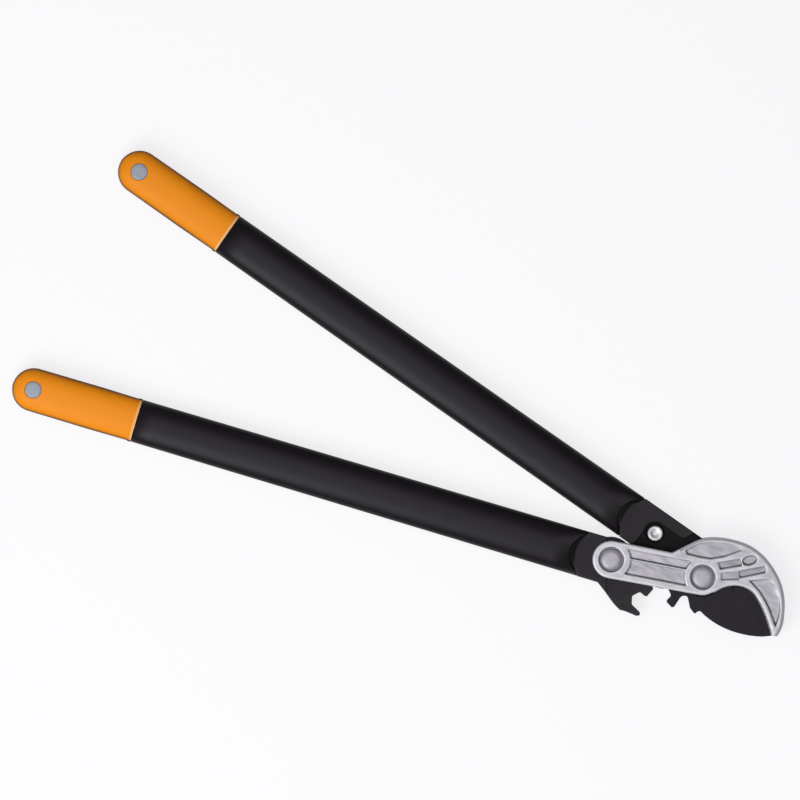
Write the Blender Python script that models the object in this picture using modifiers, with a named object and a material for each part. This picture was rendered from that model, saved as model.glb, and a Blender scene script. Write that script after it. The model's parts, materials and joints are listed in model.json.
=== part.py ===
"""A geared anvil lopper, closed and lying flat.

The silver anvil head is a link arm that carries on as a hook. The blade and the upper
handle turn on its main pivot, the lower handle turns on its link pivot, and gear teeth on
the blade's root and on the lower handle's head make the two handles move together.

The origin is the main pivot's axis, on the plane that the tool rests on. +X points past
the jaw, halfway between the closed handles, +Y to the upper handle and +Z to the front.
Sizes are in millimetres and angles in degrees until a mesh is made, which is in metres.
"""

import math

import bmesh
import bpy

MM = 0.001

# Clearances
GAP = 0.3
STOP_GAP = 1.0

# Thicknesses, from the middle plane out
TONGUE = 12.0
BLADE = 4.4
WASHER = 0.8
CHEEK_WALL = 5.6

# Pivots
PIVOT_SPACING = 81.3
AXLE_RADIUS = 6.0
BUSH_WALL = 1.7
CAP_LIP = 3.3
CAP_THICKNESS = 2.9
CAP_GROOVE = 1.6
LINK_RING_WALL = 5.6
MAIN_RING_WALL = 4.9
WASHER_WIDTH = 6.2
HUB_WALL = 9.5
POST_RADIUS = 3.2
POST_LENGTH = 12.0
SPANNER_HOLE = 1.2
SPANNER_SPREAD = 5.6

# Handles
UPPER_ANGLE = -9.25
LOWER_ANGLE = 9.13
UPPER_OFFSET = 7.6
LOWER_OFFSET = -2.4
HANDLE_WIDTH = 40.2
HANDLE_WIDTH_AT_GRIP = 38.2
TUBE_HEIGHT = 22.0
TUBE_HEIGHT_AT_GRIP = 21.4
TUBE_WALL = 2.0
TUBE_POWER = 2.2
UPPER_TUBE_LENGTH = 424.0
LOWER_TUBE_LENGTH = 399.8
TUBE_OVERCUT = 5.0
PLUG_LENGTH = 52.0
NECK_INSET = 1.5

# Grips
GRIP_LENGTH = 113.5
GRIP_WIDTH = 38.6
GRIP_POWER = 2.5
GRIP_WALL = 3.0
LIP_LENGTH = 3.0
LIP_RISE = 0.35
RIVET_RADIUS = 7.3
RIVET_HEAD = 1.5
RIVET_SHANK = 3.2

# Heads of the handles
SHOULDER_RADIUS = 32.0
SHOULDER_SLOPE = 5.0
ROUND_OVER_HANDLE = 2.0
HEAD_EDGE = 1.4
LOWER_TOE = [(-5.5, -22.5), (4.0, -29.2), (13.0, -36.2), (20.0, -40.2)]
UPPER_TOP_END = -18.0

# Raised faces of the heads: clear of the bolt by a radius, and of the hook at the far end
PAD_RECESS = 9.9
PAD_RIM = 5.0
PAD_END = (-33.0, -29.5, -27.5)
PAD_TOE = (5.0, -29.9)

# Blade bolt
BOLT_DISTANCE = 55.7
BOLT_HEAD_RADIUS = 6.7
BOLT_HEAD = 3.4
BOLT_RADIUS = 4.0
BOLT_GROOVE = 1.6
BOLT_SEAT = 1.5
BOLT_DISH = (4.2, 1.2)
BOLT_SOCKET = 2.5
NUT_RADIUS = 6.6
NUT_HEIGHT = 4.6

# Gears: the lower head's teeth drive those of the blade's root. A tip is measured out from
# the pitch circle and a root in from it. The lower head's last tooth and the back of the
# blade's teeth have plain outlines: each point is its distance out from the pitch circle,
# and along that circle from the middle of the last involute tooth.
LOWER_TO_UPPER = 50.0 / 41.0
TOOTH_PITCH = 21.0
TOOTH_THICKNESS = 9.9
PRESSURE_ANGLE = 22.0
TOOTH_CHAMFER = 0.7
ROOT_FILLET = 1.5
FIRST_LOWER_TOOTH = 1.94
LOWER_TIPS = [4.4, 0.5]
LOWER_ROOT = 6.9
LOWER_LAST_TOOTH = [(-7.6, 15.4), (-1.3, 19.4), (6.2, 16.8), (8.6, 16.4), (10.4, 17.8), (9.3, 20.3),
                    (7.1, 21.9), (2.0, 27.3)]
UPPER_TIPS = [5.4, 5.9, 1.4]
UPPER_ROOT = 5.2
UPPER_BACK = [(1.1, 2.4), (-0.6, 3.6), (-3.3, 3.1), (-10.1, 1.4), (-12.4, 1.6), (-14.2, 4.0), (-15.0, 6.8),
              (-14.3, 9.7), (-7.4, 17.6), (-4.4, 22.4), (-3.8, 24.2), (-5.8, 26.0), (-6.6, 29.0)]
TANG_HALF_WIDTH = 11.0

# Hook, from the main pivot
HOOK_OUTER = [(-29, 13.5), (-24, 19.8), (-16, 29), (-5, 36), (10, 41), (27, 42.8), (45, 38), (62, 27),
              (73, 13.5), (79.4, -1), (81.5, -9.5), (81.4, -18.2)]
HOOK_INNER = [(15.4, -7.0), (20, -0.7), (25, 3.4), (32, 7), (40, 8.2), (48, 6), (60, -2.4), (70, -12),
              (77.4, -20)]
LOBE_ROOT = 51.0
LAND_ANGLE = 62.0
LAND_RADIUS = 37.0
JOIN_INSET = 0.2
SPINE = [(70, -24.4), (60, -28.2), (48, -31), (37, -32), (26, -31.4), (17, -29.6)]
BLADE_BEVEL = 9.0
EDGE_LAND = 0.5
BLADE_HEEL = 24.0

# Anvil
ANVIL_START = 27.0
ANVIL_END = 73.5
ANVIL_DEPTH = 3.0
FLANGE_DEPTH = 1.6
FLANGE_RISE = 1.4

# Screws of the hook
HOOK_SCREWS = {"hook_screw_inner": (31.0, 30.5), "hook_screw_outer": (64.0, 14.0)}
HOOK_SCREW_HEAD = 3.6
HOOK_SCREW_RADIUS = 2.0
HOOK_SCREW_HEAD_HEIGHT = 2.2
HOOK_SCREW_REACH = 6.0
HOOK_SCREW_SOCKET = 1.6

# Relief of the casting, from the main pivot
POCKET_DRAFT = 0.9
EDGE_ROUND = 0.9
HOOK_CHAMFER = (2.6, 1.7)
UPPER_RIM = 4.6
LOWER_RIM = 6.6
LINK_RIB = (2.4, 4.6)
RING_WALL = 0.9
LENS_RIM = [(-23, 14.8), (-16, 24.5), (-5, 31.5), (8, 36.4), (17, 37.6)]
LENS_FOOT = [(20.5, 36), (8.8, 24.4), (-0.5, 17.9), (-10, 15.0), (-21, 12.6)]
MIDDLE_CHANNEL = [(6.8, 17.2), (10.8, 13.4), (25.6, 24.0), (22.4, 28.0)]
STEP_CHANNEL = [(13.4, 10.4), (15.9, 5.4), (28.8, 12.2), (26.4, 17.8)]
OUTER_CHANNEL = [(26.4, 18.2), (29.0, 13.8), (46.9, 27.4), (44.5, 31.6)]
TRIANGLE_CORNER = (38.9, 15.0)
TRIANGLE_RIM = [(74.4, -2.5), (72.6, 4), (68.6, 11), (62, 18.5), (54.5, 24.6)]
OVAL_PLACE = (30.5, 31.0)
OVAL_SIZE = (6.0, 3.6)
OVAL_ANGLE = 41.0

# The depth of each recess at its deep side and at its shallow side, and the way its deep side lies
POCKET_DEPTHS = {"lower_channel": (2.3, 1.1, -75.0), "upper_channel": (2.2, 0.8, -75.0),
                 "lens": (2.0, 0.5, -75.0), "middle_channel": (2.5, 0.8, -50.0),
                 "step_channel": (1.2, 0.6, -60.0), "outer_channel": (2.4, 1.3, -50.0),
                 "triangle": (2.6, 0.3, -117.0), "oval_pocket": (2.8, 1.6, -50.0)}

# How finely curves are drawn: points from knot to knot, and degrees of an arc
CURVE_STEPS = 3
ARC_STEP = 10.0

# Worked out from the sizes above
CHEEK_INNER = TONGUE / 2 + WASHER + 2 * GAP
HALF = CHEEK_INNER + CHEEK_WALL
PAD = 2 * (CHEEK_INNER - GAP)
MID = HALF
BUSH_RADIUS = AXLE_RADIUS + GAP + BUSH_WALL
CAP_RADIUS = AXLE_RADIUS + CAP_LIP
SEAT_RADIUS = CAP_RADIUS + CAP_GROOVE
SEAT_DEPTH = CAP_THICKNESS + GAP
LINK_RING = SEAT_RADIUS + LINK_RING_WALL
MAIN_RING = SEAT_RADIUS + MAIN_RING_WALL
HUB_RADIUS = BUSH_RADIUS + HUB_WALL
BLADE_SLOT = BLADE / 2 + GAP
ROUND_RADIUS = HANDLE_WIDTH / 2 + LOWER_OFFSET + ROUND_OVER_HANDLE
PLUG_WIDTH = HANDLE_WIDTH - 2 * (TUBE_WALL + GAP)
PLUG_HEIGHT = TUBE_HEIGHT - 2 * (TUBE_WALL + GAP)
NECK_WIDTH = PLUG_WIDTH * (1 - (TONGUE / PLUG_HEIGHT) ** TUBE_POWER) ** (1 / TUBE_POWER) - 2 * NECK_INSET
LOWER_PITCH_RADIUS = PIVOT_SPACING * LOWER_TO_UPPER / (1 + LOWER_TO_UPPER)
UPPER_PITCH_RADIUS = PIVOT_SPACING / (1 + LOWER_TO_UPPER)


# Plane geometry, on lists of (x, y)

def polar(radius, degrees, centre=(0.0, 0.0)):
    angle = math.radians(degrees)
    return (centre[0] + radius * math.cos(angle), centre[1] + radius * math.sin(angle))


def arc(centre, radius, start, end, step=ARC_STEP):
    count = max(2, math.ceil(abs(end - start) / step))
    return [polar(radius, start + (end - start) * i / count, centre) for i in range(count + 1)]


def turned(points, degrees):
    c, s = math.cos(math.radians(degrees)), math.sin(math.radians(degrees))
    return [(c * x - s * y, s * x + c * y) for x, y in points]


def shifted(points, dx, dy):
    return [(x + dx, y + dy) for x, y in points]


def smooth(knots, steps=CURVE_STEPS):
    """A smooth curve through the knots (Catmull-Rom)."""
    ends = [knots[0]] + list(knots) + [knots[-1]]
    points = []
    for i in range(1, len(ends) - 2):
        for k in range(steps):
            t = k / steps
            point = []
            for a, b, c, d in zip(*ends[i - 1:i + 3]):
                square, cube = 2 * a - 5 * b + 4 * c - d, 3 * b - a - 3 * c + d
                point.append(0.5 * (2 * b + (c - a) * t + square * t ** 2 + cube * t ** 3))
            points.append(tuple(point))
    points.append(tuple(knots[-1]))
    return points


def normals(points):
    """The unit normal to the left of the path at each point."""
    found = []
    for before, after in zip(points[:1] + points[:-1], points[1:] + points[-1:]):
        dx, dy = after[0] - before[0], after[1] - before[1]
        length = math.hypot(dx, dy)
        found.append((-dy / length, dx / length))
    return found


def offset(points, distance):
    return [(x + nx * distance, y + ny * distance) for (x, y), (nx, ny) in zip(points, normals(points))]


def closed_offset(points, distance):
    """A closed outline moved out by the distance, with its corners kept."""
    area = sum(a[0] * b[1] - b[0] * a[1] for a, b in zip(points, points[1:] + points[:1]))
    side = -1 if area > 0 else 1
    moved = []
    for i, (x, y) in enumerate(points):
        (ax, ay), (bx, by) = points[i - 1], points[(i + 1) % len(points)]
        first = math.atan2(y - ay, x - ax)
        second = math.atan2(by - y, bx - x)
        half = (second - first + math.pi) % (2 * math.pi) - math.pi
        middle = first + half / 2 + side * math.pi / 2
        reach = distance / max(0.5, math.cos(half / 2))
        moved.append((x + reach * math.cos(middle), y + reach * math.sin(middle)))
    return moved


def oval(half_width, half_height, power, sides):
    """A superellipse, as (across, up) from its middle."""
    points = []
    for i in range(sides):
        angle = 2 * math.pi * i / sides
        c, s = math.cos(angle), math.sin(angle)
        points.append((half_width * math.copysign(abs(c) ** (2 / power), c),
                       half_height * math.copysign(abs(s) ** (2 / power), s)))
    return points


def angle_of(point):
    return math.degrees(math.atan2(point[1], point[0]))


# Places that follow from the sizes

def link_pivot_from_upper():
    """The link pivot in the upper lever's frame, where the round lower head just clears the upper one."""
    drop = HANDLE_WIDTH / 2 - UPPER_OFFSET + STOP_GAP + ROUND_RADIUS
    return (-math.sqrt(PIVOT_SPACING ** 2 - drop ** 2), -drop)


LINK_PIVOT = turned([link_pivot_from_upper()], UPPER_ANGLE)[0]
LINK_ANGLE = angle_of((-LINK_PIVOT[0], -LINK_PIVOT[1]))
BOLT_PLACE = (-BOLT_DISTANCE, UPPER_OFFSET)


def on_link(along, across):
    """A point of the head, from the link pivot along and across the link arm."""
    x, y = turned([(along, across)], LINK_ANGLE)[0]
    return (LINK_PIVOT[0] + x, LINK_PIVOT[1] + y)


def tube_front():
    """How far the tube's uncut end lies behind the middle of the head's shoulder."""
    return math.sqrt(SHOULDER_RADIUS ** 2 - (HANDLE_WIDTH / 2) ** 2) - TUBE_OVERCUT


def tube_halves(back, length):
    """Half the tube's width and height, at a distance behind the middle of the head's shoulder."""
    front = tube_front()
    share = (back - front) / (SHOULDER_RADIUS + length - front)
    return (HANDLE_WIDTH / 2 + (HANDLE_WIDTH_AT_GRIP - HANDLE_WIDTH) / 2 * share,
            TUBE_HEIGHT / 2 + (TUBE_HEIGHT_AT_GRIP - TUBE_HEIGHT) / 2 * share)


def link_half_width(along):
    return LINK_RING + (MAIN_RING - LINK_RING) * along / PIVOT_SPACING


# Gears

def involute(radians):
    return math.tan(radians) - radians


def half_tooth(radius, pitch_radius):
    """Half the angle that a tooth spans at this radius."""
    pressure = math.radians(PRESSURE_ANGLE)
    base = pitch_radius * math.cos(pressure)
    here = involute(math.acos(base / radius)) if radius > base else 0.0
    return math.degrees(TOOTH_THICKNESS / (2 * pitch_radius) + involute(pressure) - here)


def flank(pitch_radius, root, tip, steps=5):
    """(radius, half angle) from a tooth's root to its tip, with a corner at the root and at the tip."""
    base = pitch_radius * math.cos(math.radians(PRESSURE_ANGLE))
    start = max(base, root + TOOTH_CHAMFER)
    end = tip - TOOTH_CHAMFER
    points = [(root, half_tooth(root, pitch_radius) + math.degrees(ROOT_FILLET / root))]
    if base > root + 2.0:
        points.append((root + ROOT_FILLET, half_tooth(root, pitch_radius)))
    radii = [start + (end - start) * i / steps for i in range(steps + 1)] if end > start + 0.5 else [end]
    points += [(radius, half_tooth(radius, pitch_radius)) for radius in radii]
    points.append((tip, half_tooth(tip, pitch_radius) - math.degrees(TOOTH_CHAMFER / tip)))
    return points


def tooth(centre, pitch_radius, root, tip, way):
    """A tooth's outline, starting at its root on the side that the way comes from."""
    side = flank(pitch_radius, pitch_radius - root, pitch_radius + tip)
    return ([polar(r, centre - way * a) for r, a in side]
            + [polar(r, centre + way * a) for r, a in reversed(side)])


# Outlines

def cheek_outline():
    """The plan of the anvil head: link arm, lobe, hook and jaw."""
    tilt = math.degrees(math.acos((LINK_RING - MAIN_RING) / PIVOT_SPACING))
    outline = arc(LINK_PIVOT, LINK_RING, LINK_ANGLE + tilt, LINK_ANGLE + 360 - tilt)
    outline += arc((0, 0), MAIN_RING, LINK_ANGLE - tilt, angle_of(HOOK_INNER[0]) - ARC_STEP)
    outline += smooth(HOOK_INNER)
    outline += smooth([on_link(LOBE_ROOT, link_half_width(LOBE_ROOT))] + HOOK_OUTER)[::-1]
    return outline


def seat_path(start, end):
    """The part of the hook's inner edge between two distances along X."""
    edge = smooth(HOOK_INNER)
    path = []
    for a, b in zip(edge, edge[1:]):
        for limit in (start, end):
            if a[0] < limit < b[0]:
                t = (limit - a[0]) / (b[0] - a[0])
                path.append((limit, a[1] + t * (b[1] - a[1])))
        if start + 0.4 < b[0] < end - 0.4 or (b == edge[-1] and end > b[0]):
            path.append(b)
    return path


def land_outline():
    """Where the two cheeks meet in the middle, behind the anvil."""
    back = ANVIL_DEPTH + FLANGE_DEPTH + GAP
    outer = [p for p in smooth(HOOK_OUTER) if angle_of(p) < LAND_ANGLE]
    nose = seat_path(ANVIL_END + 2 * GAP, HOOK_OUTER[-1][0])
    behind = offset(seat_path(ANVIL_START, ANVIL_END + 2 * GAP), back)
    behind = [p for p in behind if math.hypot(*p) > LAND_RADIUS + 0.5]
    round_pivot = arc((0, 0), LAND_RADIUS, angle_of(behind[0]) + 2, LAND_ANGLE - 2)
    return closed_offset(outer + nose[::-1] + behind[::-1] + round_pivot, -JOIN_INSET)


def channel(low, high):
    """A long pocket of the link arm between the two rings, and between two distances across."""
    link_reach = LINK_RING + RING_WALL
    main_reach = MAIN_RING + RING_WALL

    def end(centre, reach, across, side):
        return on_link(centre + side * math.sqrt(reach ** 2 - across ** 2), across)

    near = [end(0, link_reach, high + (low - high) * i / 6, 1) for i in range(7)]
    far = [end(PIVOT_SPACING, main_reach, low + (high - low) * i / 6, -1) for i in range(7)]
    return near + far


def pockets():
    """The outline of each recess in a cheek's face."""
    triangle_foot = offset(seat_path(45, 72), ANVIL_DEPTH + FLANGE_DEPTH + GAP)
    half_width = link_half_width(PIVOT_SPACING / 2)
    return {
        "lower_channel": channel(LOWER_RIM - half_width, LINK_RIB[0]),
        "upper_channel": channel(LINK_RIB[1], half_width - UPPER_RIM),
        "lens": smooth(LENS_RIM) + LENS_FOOT,
        "middle_channel": MIDDLE_CHANNEL,
        "step_channel": STEP_CHANNEL,
        "outer_channel": OUTER_CHANNEL,
        "triangle": [TRIANGLE_CORNER] + triangle_foot + TRIANGLE_RIM,
        "oval_pocket": shifted(turned(oval(*OVAL_SIZE, 2.0, 20), OVAL_ANGLE), *OVAL_PLACE),
    }


def blade_outline():
    """The blade in the upper lever's frame: edge, hub, tang, gear teeth and spine."""
    edge = turned(offset(seat_path(BLADE_HEEL, HOOK_OUTER[-1][0]), -GAP), -UPPER_ANGLE)
    tang_low = UPPER_OFFSET - TANG_HALF_WIDTH
    mesh_line = angle_of(link_pivot_from_upper()) % 360
    turn = 360 / (2 * math.pi * UPPER_PITCH_RADIUS)
    teeth = []
    for i, tip in enumerate(UPPER_TIPS):
        centre = mesh_line + turn * (FIRST_LOWER_TOOTH + TOOTH_PITCH * (i - 0.5))
        teeth += tooth(centre, UPPER_PITCH_RADIUS, UPPER_ROOT, tip, 1)
    teeth = [p for p in teeth if p[1] < tang_low - 1.0 and angle_of(p) % 360 < centre]
    teeth += [polar(UPPER_PITCH_RADIUS + out, centre + turn * along) for out, along in UPPER_BACK]

    outline = edge[::-1]
    outline += arc((0, 0), HUB_RADIUS, 30, 66)
    outline += arc(BOLT_PLACE, TANG_HALF_WIDTH, 90, 270)
    outline += [(teeth[0][0] - 0.6, tang_low)] + teeth
    outline += turned(smooth(SPINE[::-1]), -UPPER_ANGLE)
    return outline


def upper_tongue_outline():
    """The flat fork of the upper head, in the upper lever's frame."""
    top = UPPER_OFFSET + HANDLE_WIDTH / 2
    low = UPPER_OFFSET - HANDLE_WIDTH / 2
    pivot = link_pivot_from_upper()
    reach = LOWER_PITCH_RADIUS + LOWER_TIPS[0] + 1.2
    shoulder = SHOULDER_RADIUS - GAP
    half = math.degrees(math.asin(HANDLE_WIDTH / 2 / shoulder))
    neck = math.degrees(math.asin(NECK_WIDTH / 2 / shoulder))
    back = BOLT_PLACE[0] - SHOULDER_RADIUS - PLUG_LENGTH + 6
    outline = arc(BOLT_PLACE, shoulder, 180 - half, 180 - neck)
    outline += [(back, UPPER_OFFSET + NECK_WIDTH / 2), (back, UPPER_OFFSET - NECK_WIDTH / 2)]
    outline += arc(BOLT_PLACE, shoulder, 180 + neck, 180 + half)
    outline += [(pivot[0] + 8, low), (pivot[0] + 0.55 * reach, low + 3.2)]
    outline += arc(pivot, reach, 38, 27)
    outline += arc((0, 0), HUB_RADIUS, 212, 430)
    outline += [(UPPER_TOP_END, top)]
    return outline


def lower_tongue_outline():
    """The lower head with its gear sector, in the lower lever's frame."""
    top = LOWER_OFFSET + HANDLE_WIDTH / 2
    low = LOWER_OFFSET - HANDLE_WIDTH / 2
    middle = (0.0, LOWER_OFFSET)
    shoulder = SHOULDER_RADIUS - GAP
    half = math.degrees(math.asin(HANDLE_WIDTH / 2 / shoulder))
    neck = math.degrees(math.asin(NECK_WIDTH / 2 / shoulder))
    tail = -SHOULDER_RADIUS - PLUG_LENGTH + 6
    mesh_line = LINK_ANGLE - LOWER_ANGLE
    turn = 360 / (2 * math.pi * LOWER_PITCH_RADIUS)
    root = LOWER_PITCH_RADIUS - LOWER_ROOT
    teeth = []
    for i, tip in enumerate(LOWER_TIPS):
        centre = mesh_line - turn * (FIRST_LOWER_TOOTH + TOOTH_PITCH * i)
        teeth += tooth(centre, LOWER_PITCH_RADIUS, LOWER_ROOT, tip, -1)
    teeth += [polar(LOWER_PITCH_RADIUS + out, centre - turn * along) for out, along in LOWER_LAST_TOOTH]

    round_start = 180 - math.degrees(math.asin(top / ROUND_RADIUS))
    round_end = angle_of(teeth[0]) + 4
    outline = arc(middle, shoulder, 180 + neck, 180 + half)
    outline += [(LOWER_TOE[0][0], low)] + smooth(LOWER_TOE[1:], 2)
    outline += teeth[::-1]
    outline += [polar(root, round_end - 2), polar(ROUND_RADIUS + 3, round_end)]
    outline += arc((0, 0), ROUND_RADIUS, round_end + 8, round_start)
    outline += arc(middle, shoulder, 180 - half, 180 - neck)
    outline += [(tail, LOWER_OFFSET + NECK_WIDTH / 2), (tail, LOWER_OFFSET - NECK_WIDTH / 2)]
    return outline


def upper_pad_outline():
    """The raised face of the upper head, which stops round the bolt and short of the cheeks' lobe."""
    top = UPPER_OFFSET + HANDLE_WIDTH / 2
    low = UPPER_OFFSET - HANDLE_WIDTH / 2
    shoulder = SHOULDER_RADIUS - GAP
    half = math.degrees(math.asin(HANDLE_WIDTH / 2 / shoulder))
    outline = arc(BOLT_PLACE, shoulder, 180 - half, 180 + half)
    outline += [(BOLT_PLACE[0] - PAD_RECESS, low)]
    outline += arc(BOLT_PLACE, PAD_RECESS, 205, 90, 15)
    start, bend, end = PAD_END
    outline += [(start, UPPER_OFFSET + PAD_RECESS), (bend, top - PAD_RIM), (end, top)]
    return closed_offset(outline, -JOIN_INSET)


def lower_pad_outline():
    """The raised face of the lower head, from the shoulder to under the cheeks' link ring."""
    top = LOWER_OFFSET + HANDLE_WIDTH / 2
    low = LOWER_OFFSET - HANDLE_WIDTH / 2
    shoulder = SHOULDER_RADIUS - GAP
    half = math.degrees(math.asin(HANDLE_WIDTH / 2 / shoulder))
    outline = arc((0.0, LOWER_OFFSET), shoulder, 180 - half, 180 + half)
    outline += [(LOWER_TOE[0][0], low), PAD_TOE]
    outline += arc((0, 0), LINK_RING - 1.0, 272, 118, 15)
    outline += [(-math.sqrt(ROUND_RADIUS ** 2 - top ** 2), top)]
    return closed_offset(outline, -JOIN_INSET)


def blade_slot_outline():
    """The slot that the tang and the hub slide into, open towards the jaw."""
    half = TANG_HALF_WIDTH + GAP
    low = UPPER_OFFSET - half
    reach = HUB_RADIUS + 6
    past_first_tooth = -UPPER_PITCH_RADIUS - UPPER_TIPS[0] - 3.0
    outline = arc(BOLT_PLACE, half, 90, 270)
    outline += [(past_first_tooth, low), (past_first_tooth, -2 * reach), (reach, -2 * reach), (reach, reach)]
    outline += [(-6.0, reach), (-12.0, UPPER_OFFSET + half)]
    return outline


# Scene, frames and materials

def clear_scene():
    for obj in list(bpy.data.objects):
        bpy.data.objects.remove(obj, do_unlink=True)


def new_collection(name):
    collection = bpy.data.collections.new(name)
    bpy.context.scene.collection.children.link(collection)
    return collection


def linear(level):
    return level / 12.92 if level <= 0.04045 else ((level + 0.055) / 1.055) ** 2.4


def surface(name, rgb, roughness, metallic):
    """A Principled material for one piece, from an sRGB colour of 0 to 255."""
    material = bpy.data.materials.new(name)
    material.use_nodes = True
    shader = material.node_tree.nodes["Principled BSDF"]
    colour = [linear(c / 255) for c in rgb] + [1.0]
    shader.inputs["Base Color"].default_value = colour
    shader.inputs["Roughness"].default_value = roughness
    shader.inputs["Metallic"].default_value = metallic
    material.diffuse_color = colour
    return material


FINISHES = {
    "casting": ((188, 186, 193), 0.42, 0.85),
    "anvil": ((196, 194, 198), 0.38, 0.9),
    "cap": ((178, 176, 184), 0.35, 0.9),
    "steel": ((170, 170, 176), 0.3, 1.0),
    "blade": ((46, 44, 48), 0.4, 0.3),
    "head": ((58, 56, 58), 0.5, 0.0),
    "tube": ((46, 45, 47), 0.38, 0.0),
    "grip": ((236, 140, 34), 0.55, 0.0),
    "rivet": ((150, 158, 172), 0.45, 0.3),
    "bush": ((176, 140, 84), 0.45, 0.8),
}


class Bench:
    """The collections and the frames that the pieces are built in."""

    def __init__(self):
        self.parts = new_collection("anvil_lopper")
        self.cutters = new_collection("cutters")
        self.frames = {
            "head": self.frame("anvil_head_frame", (0, 0), 0.0),
            "upper": self.frame("upper_lever_frame", (0, 0), UPPER_ANGLE),
            "lower": self.frame("lower_lever_frame", LINK_PIVOT, LOWER_ANGLE),
        }

    def frame(self, name, place, angle):
        empty = bpy.data.objects.new(name, None)
        empty.location = (place[0] * MM, place[1] * MM, 0.0)
        empty.rotation_euler = (0.0, 0.0, math.radians(angle))
        empty.empty_display_size = 0.02
        self.parts.objects.link(empty)
        return empty

    def add(self, name, mesh, frame, finish):
        """A piece if it has a finish, else a cutter."""
        obj = bpy.data.objects.new(name, mesh)
        obj.parent = self.frames[frame]
        if finish is None:
            self.cutters.objects.link(obj)
            obj.hide_render = True
            obj.display_type = "WIRE"
        else:
            self.parts.objects.link(obj)
            mesh.materials.append(surface(name, *FINISHES[finish]))
        return obj


# Solids

def slab(bench, name, outline, low, high, frame, finish=None):
    """A flat outline, as a filled 2D curve with an extrude, made a mesh between two heights."""
    curve = bpy.data.curves.new(name, "CURVE")
    curve.dimensions = "2D"
    curve.fill_mode = "BOTH"
    curve.extrude = (high - low) / 2 * MM
    spline = curve.splines.new("POLY")
    spline.points.add(len(outline) - 1)
    for point, (x, y) in zip(spline.points, outline):
        point.co = (x * MM, y * MM, 0.0, 1.0)
    spline.use_cyclic_u = True
    drawn = bpy.data.objects.new(name + "_outline", curve)
    bpy.context.scene.collection.objects.link(drawn)
    seen = drawn.evaluated_get(bpy.context.evaluated_depsgraph_get())
    mesh = bpy.data.meshes.new_from_object(seen)
    bpy.data.objects.remove(drawn, do_unlink=True)
    mesh.name = name
    form = bmesh.new()
    form.from_mesh(mesh)
    bmesh.ops.remove_doubles(form, verts=form.verts, dist=1e-6)
    bmesh.ops.translate(form, verts=form.verts, vec=(0.0, 0.0, (low + high) / 2 * MM))
    bmesh.ops.recalc_face_normals(form, faces=form.faces)
    flat = [e for e in form.edges if len(e.link_faces) == 2 and e.calc_face_angle(1.0) < 0.001]
    bmesh.ops.dissolve_edges(form, edges=flat, use_verts=False)
    form.to_mesh(mesh)
    form.free()
    return bench.add(name, mesh, frame, finish)


def rod(bench, name, centre, radius, low, high, frame, finish=None, sides=28, top_radius=None):
    """An upright cylinder, a prism with few sides, or a cone with a top radius of its own."""
    form = bmesh.new()
    bmesh.ops.create_cone(form, cap_ends=True, segments=sides, radius1=radius * MM,
                          radius2=(top_radius or radius) * MM, depth=(high - low) * MM)
    mesh = bpy.data.meshes.new(name)
    form.to_mesh(mesh)
    form.free()
    obj = bench.add(name, mesh, frame, finish)
    obj.location = (centre[0] * MM, centre[1] * MM, (low + high) / 2 * MM)
    return obj


def loft(bench, name, stations, frame, offset_y, finish=None, sides=28):
    """A solid through ovals along X; a station is (x, half width, half height, power)."""
    form = bmesh.new()
    rings = []
    for x, half_width, half_height, power in stations:
        ring = oval(half_width, half_height, power, sides)
        rings.append([form.verts.new((x * MM, (offset_y + a) * MM, (MID + b) * MM)) for a, b in ring])
    walls = []
    for near, far in zip(rings, rings[1:]):
        for i in range(sides):
            j = (i + 1) % sides
            walls.append(form.faces.new((near[i], near[j], far[j], far[i])))
    # A long wall of four corners is a little twisted, and a cut needs flat faces.
    bmesh.ops.triangulate(form, faces=walls)
    form.faces.new(rings[0])
    form.faces.new(rings[-1])
    bmesh.ops.recalc_face_normals(form, faces=form.faces)
    mesh = bpy.data.meshes.new(name)
    form.to_mesh(mesh)
    form.free()
    return bench.add(name, mesh, frame, finish)


def sweep(bench, name, path, section, frame, finish=None):
    """A section of (left of the path, up from the middle plane) carried along a flat path."""
    form = bmesh.new()
    rings = []
    for (x, y), (nx, ny) in zip(path, normals(path)):
        ring = [(x + nx * a, y + ny * a, MID + b) for a, b in section]
        rings.append([form.verts.new([c * MM for c in corner]) for corner in ring])
    count = len(section)
    for near, far in zip(rings, rings[1:]):
        for i in range(count):
            j = (i + 1) % count
            form.faces.new((near[i], near[j], far[j], far[i]))
    form.faces.new(rings[0])
    form.faces.new(rings[-1])
    bmesh.ops.recalc_face_normals(form, faces=form.faces)
    mesh = bpy.data.meshes.new(name)
    form.to_mesh(mesh)
    form.free()
    return bench.add(name, mesh, frame, finish)


def sloping_depths(outline, deep, shallow, way):
    """The depth of a flat, sloping floor at each corner of the outline: deep furthest along the way."""
    c, s = math.cos(math.radians(way)), math.sin(math.radians(way))
    along = [x * c + y * s for x, y in outline]
    first, last = min(along), max(along)
    return [shallow + (deep - shallow) * (reach - first) / (last - first) for reach in along]


def drafted(bench, name, outline, depths, face, side):
    """A cutter that is wider at the face, on this side, than at its floor, which lies at these depths."""
    form = bmesh.new()
    floor = [form.verts.new((x * MM, y * MM, (face - side * depth) * MM))
             for (x, y), depth in zip(outline, depths)]
    spread = POCKET_DRAFT * (1 + 1 / max(depths))
    top = [form.verts.new((x * MM, y * MM, (face + side) * MM)) for x, y in closed_offset(outline, spread)]
    for i in range(len(outline)):
        j = (i + 1) % len(outline)
        form.faces.new((floor[i], floor[j], top[j]))
        form.faces.new((floor[i], top[j], top[i]))
    form.faces.new(floor)
    form.faces.new(top)
    bmesh.ops.recalc_face_normals(form, faces=form.faces)
    mesh = bpy.data.meshes.new(name)
    form.to_mesh(mesh)
    form.free()
    return bench.add(name, mesh, "head", None)


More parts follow.
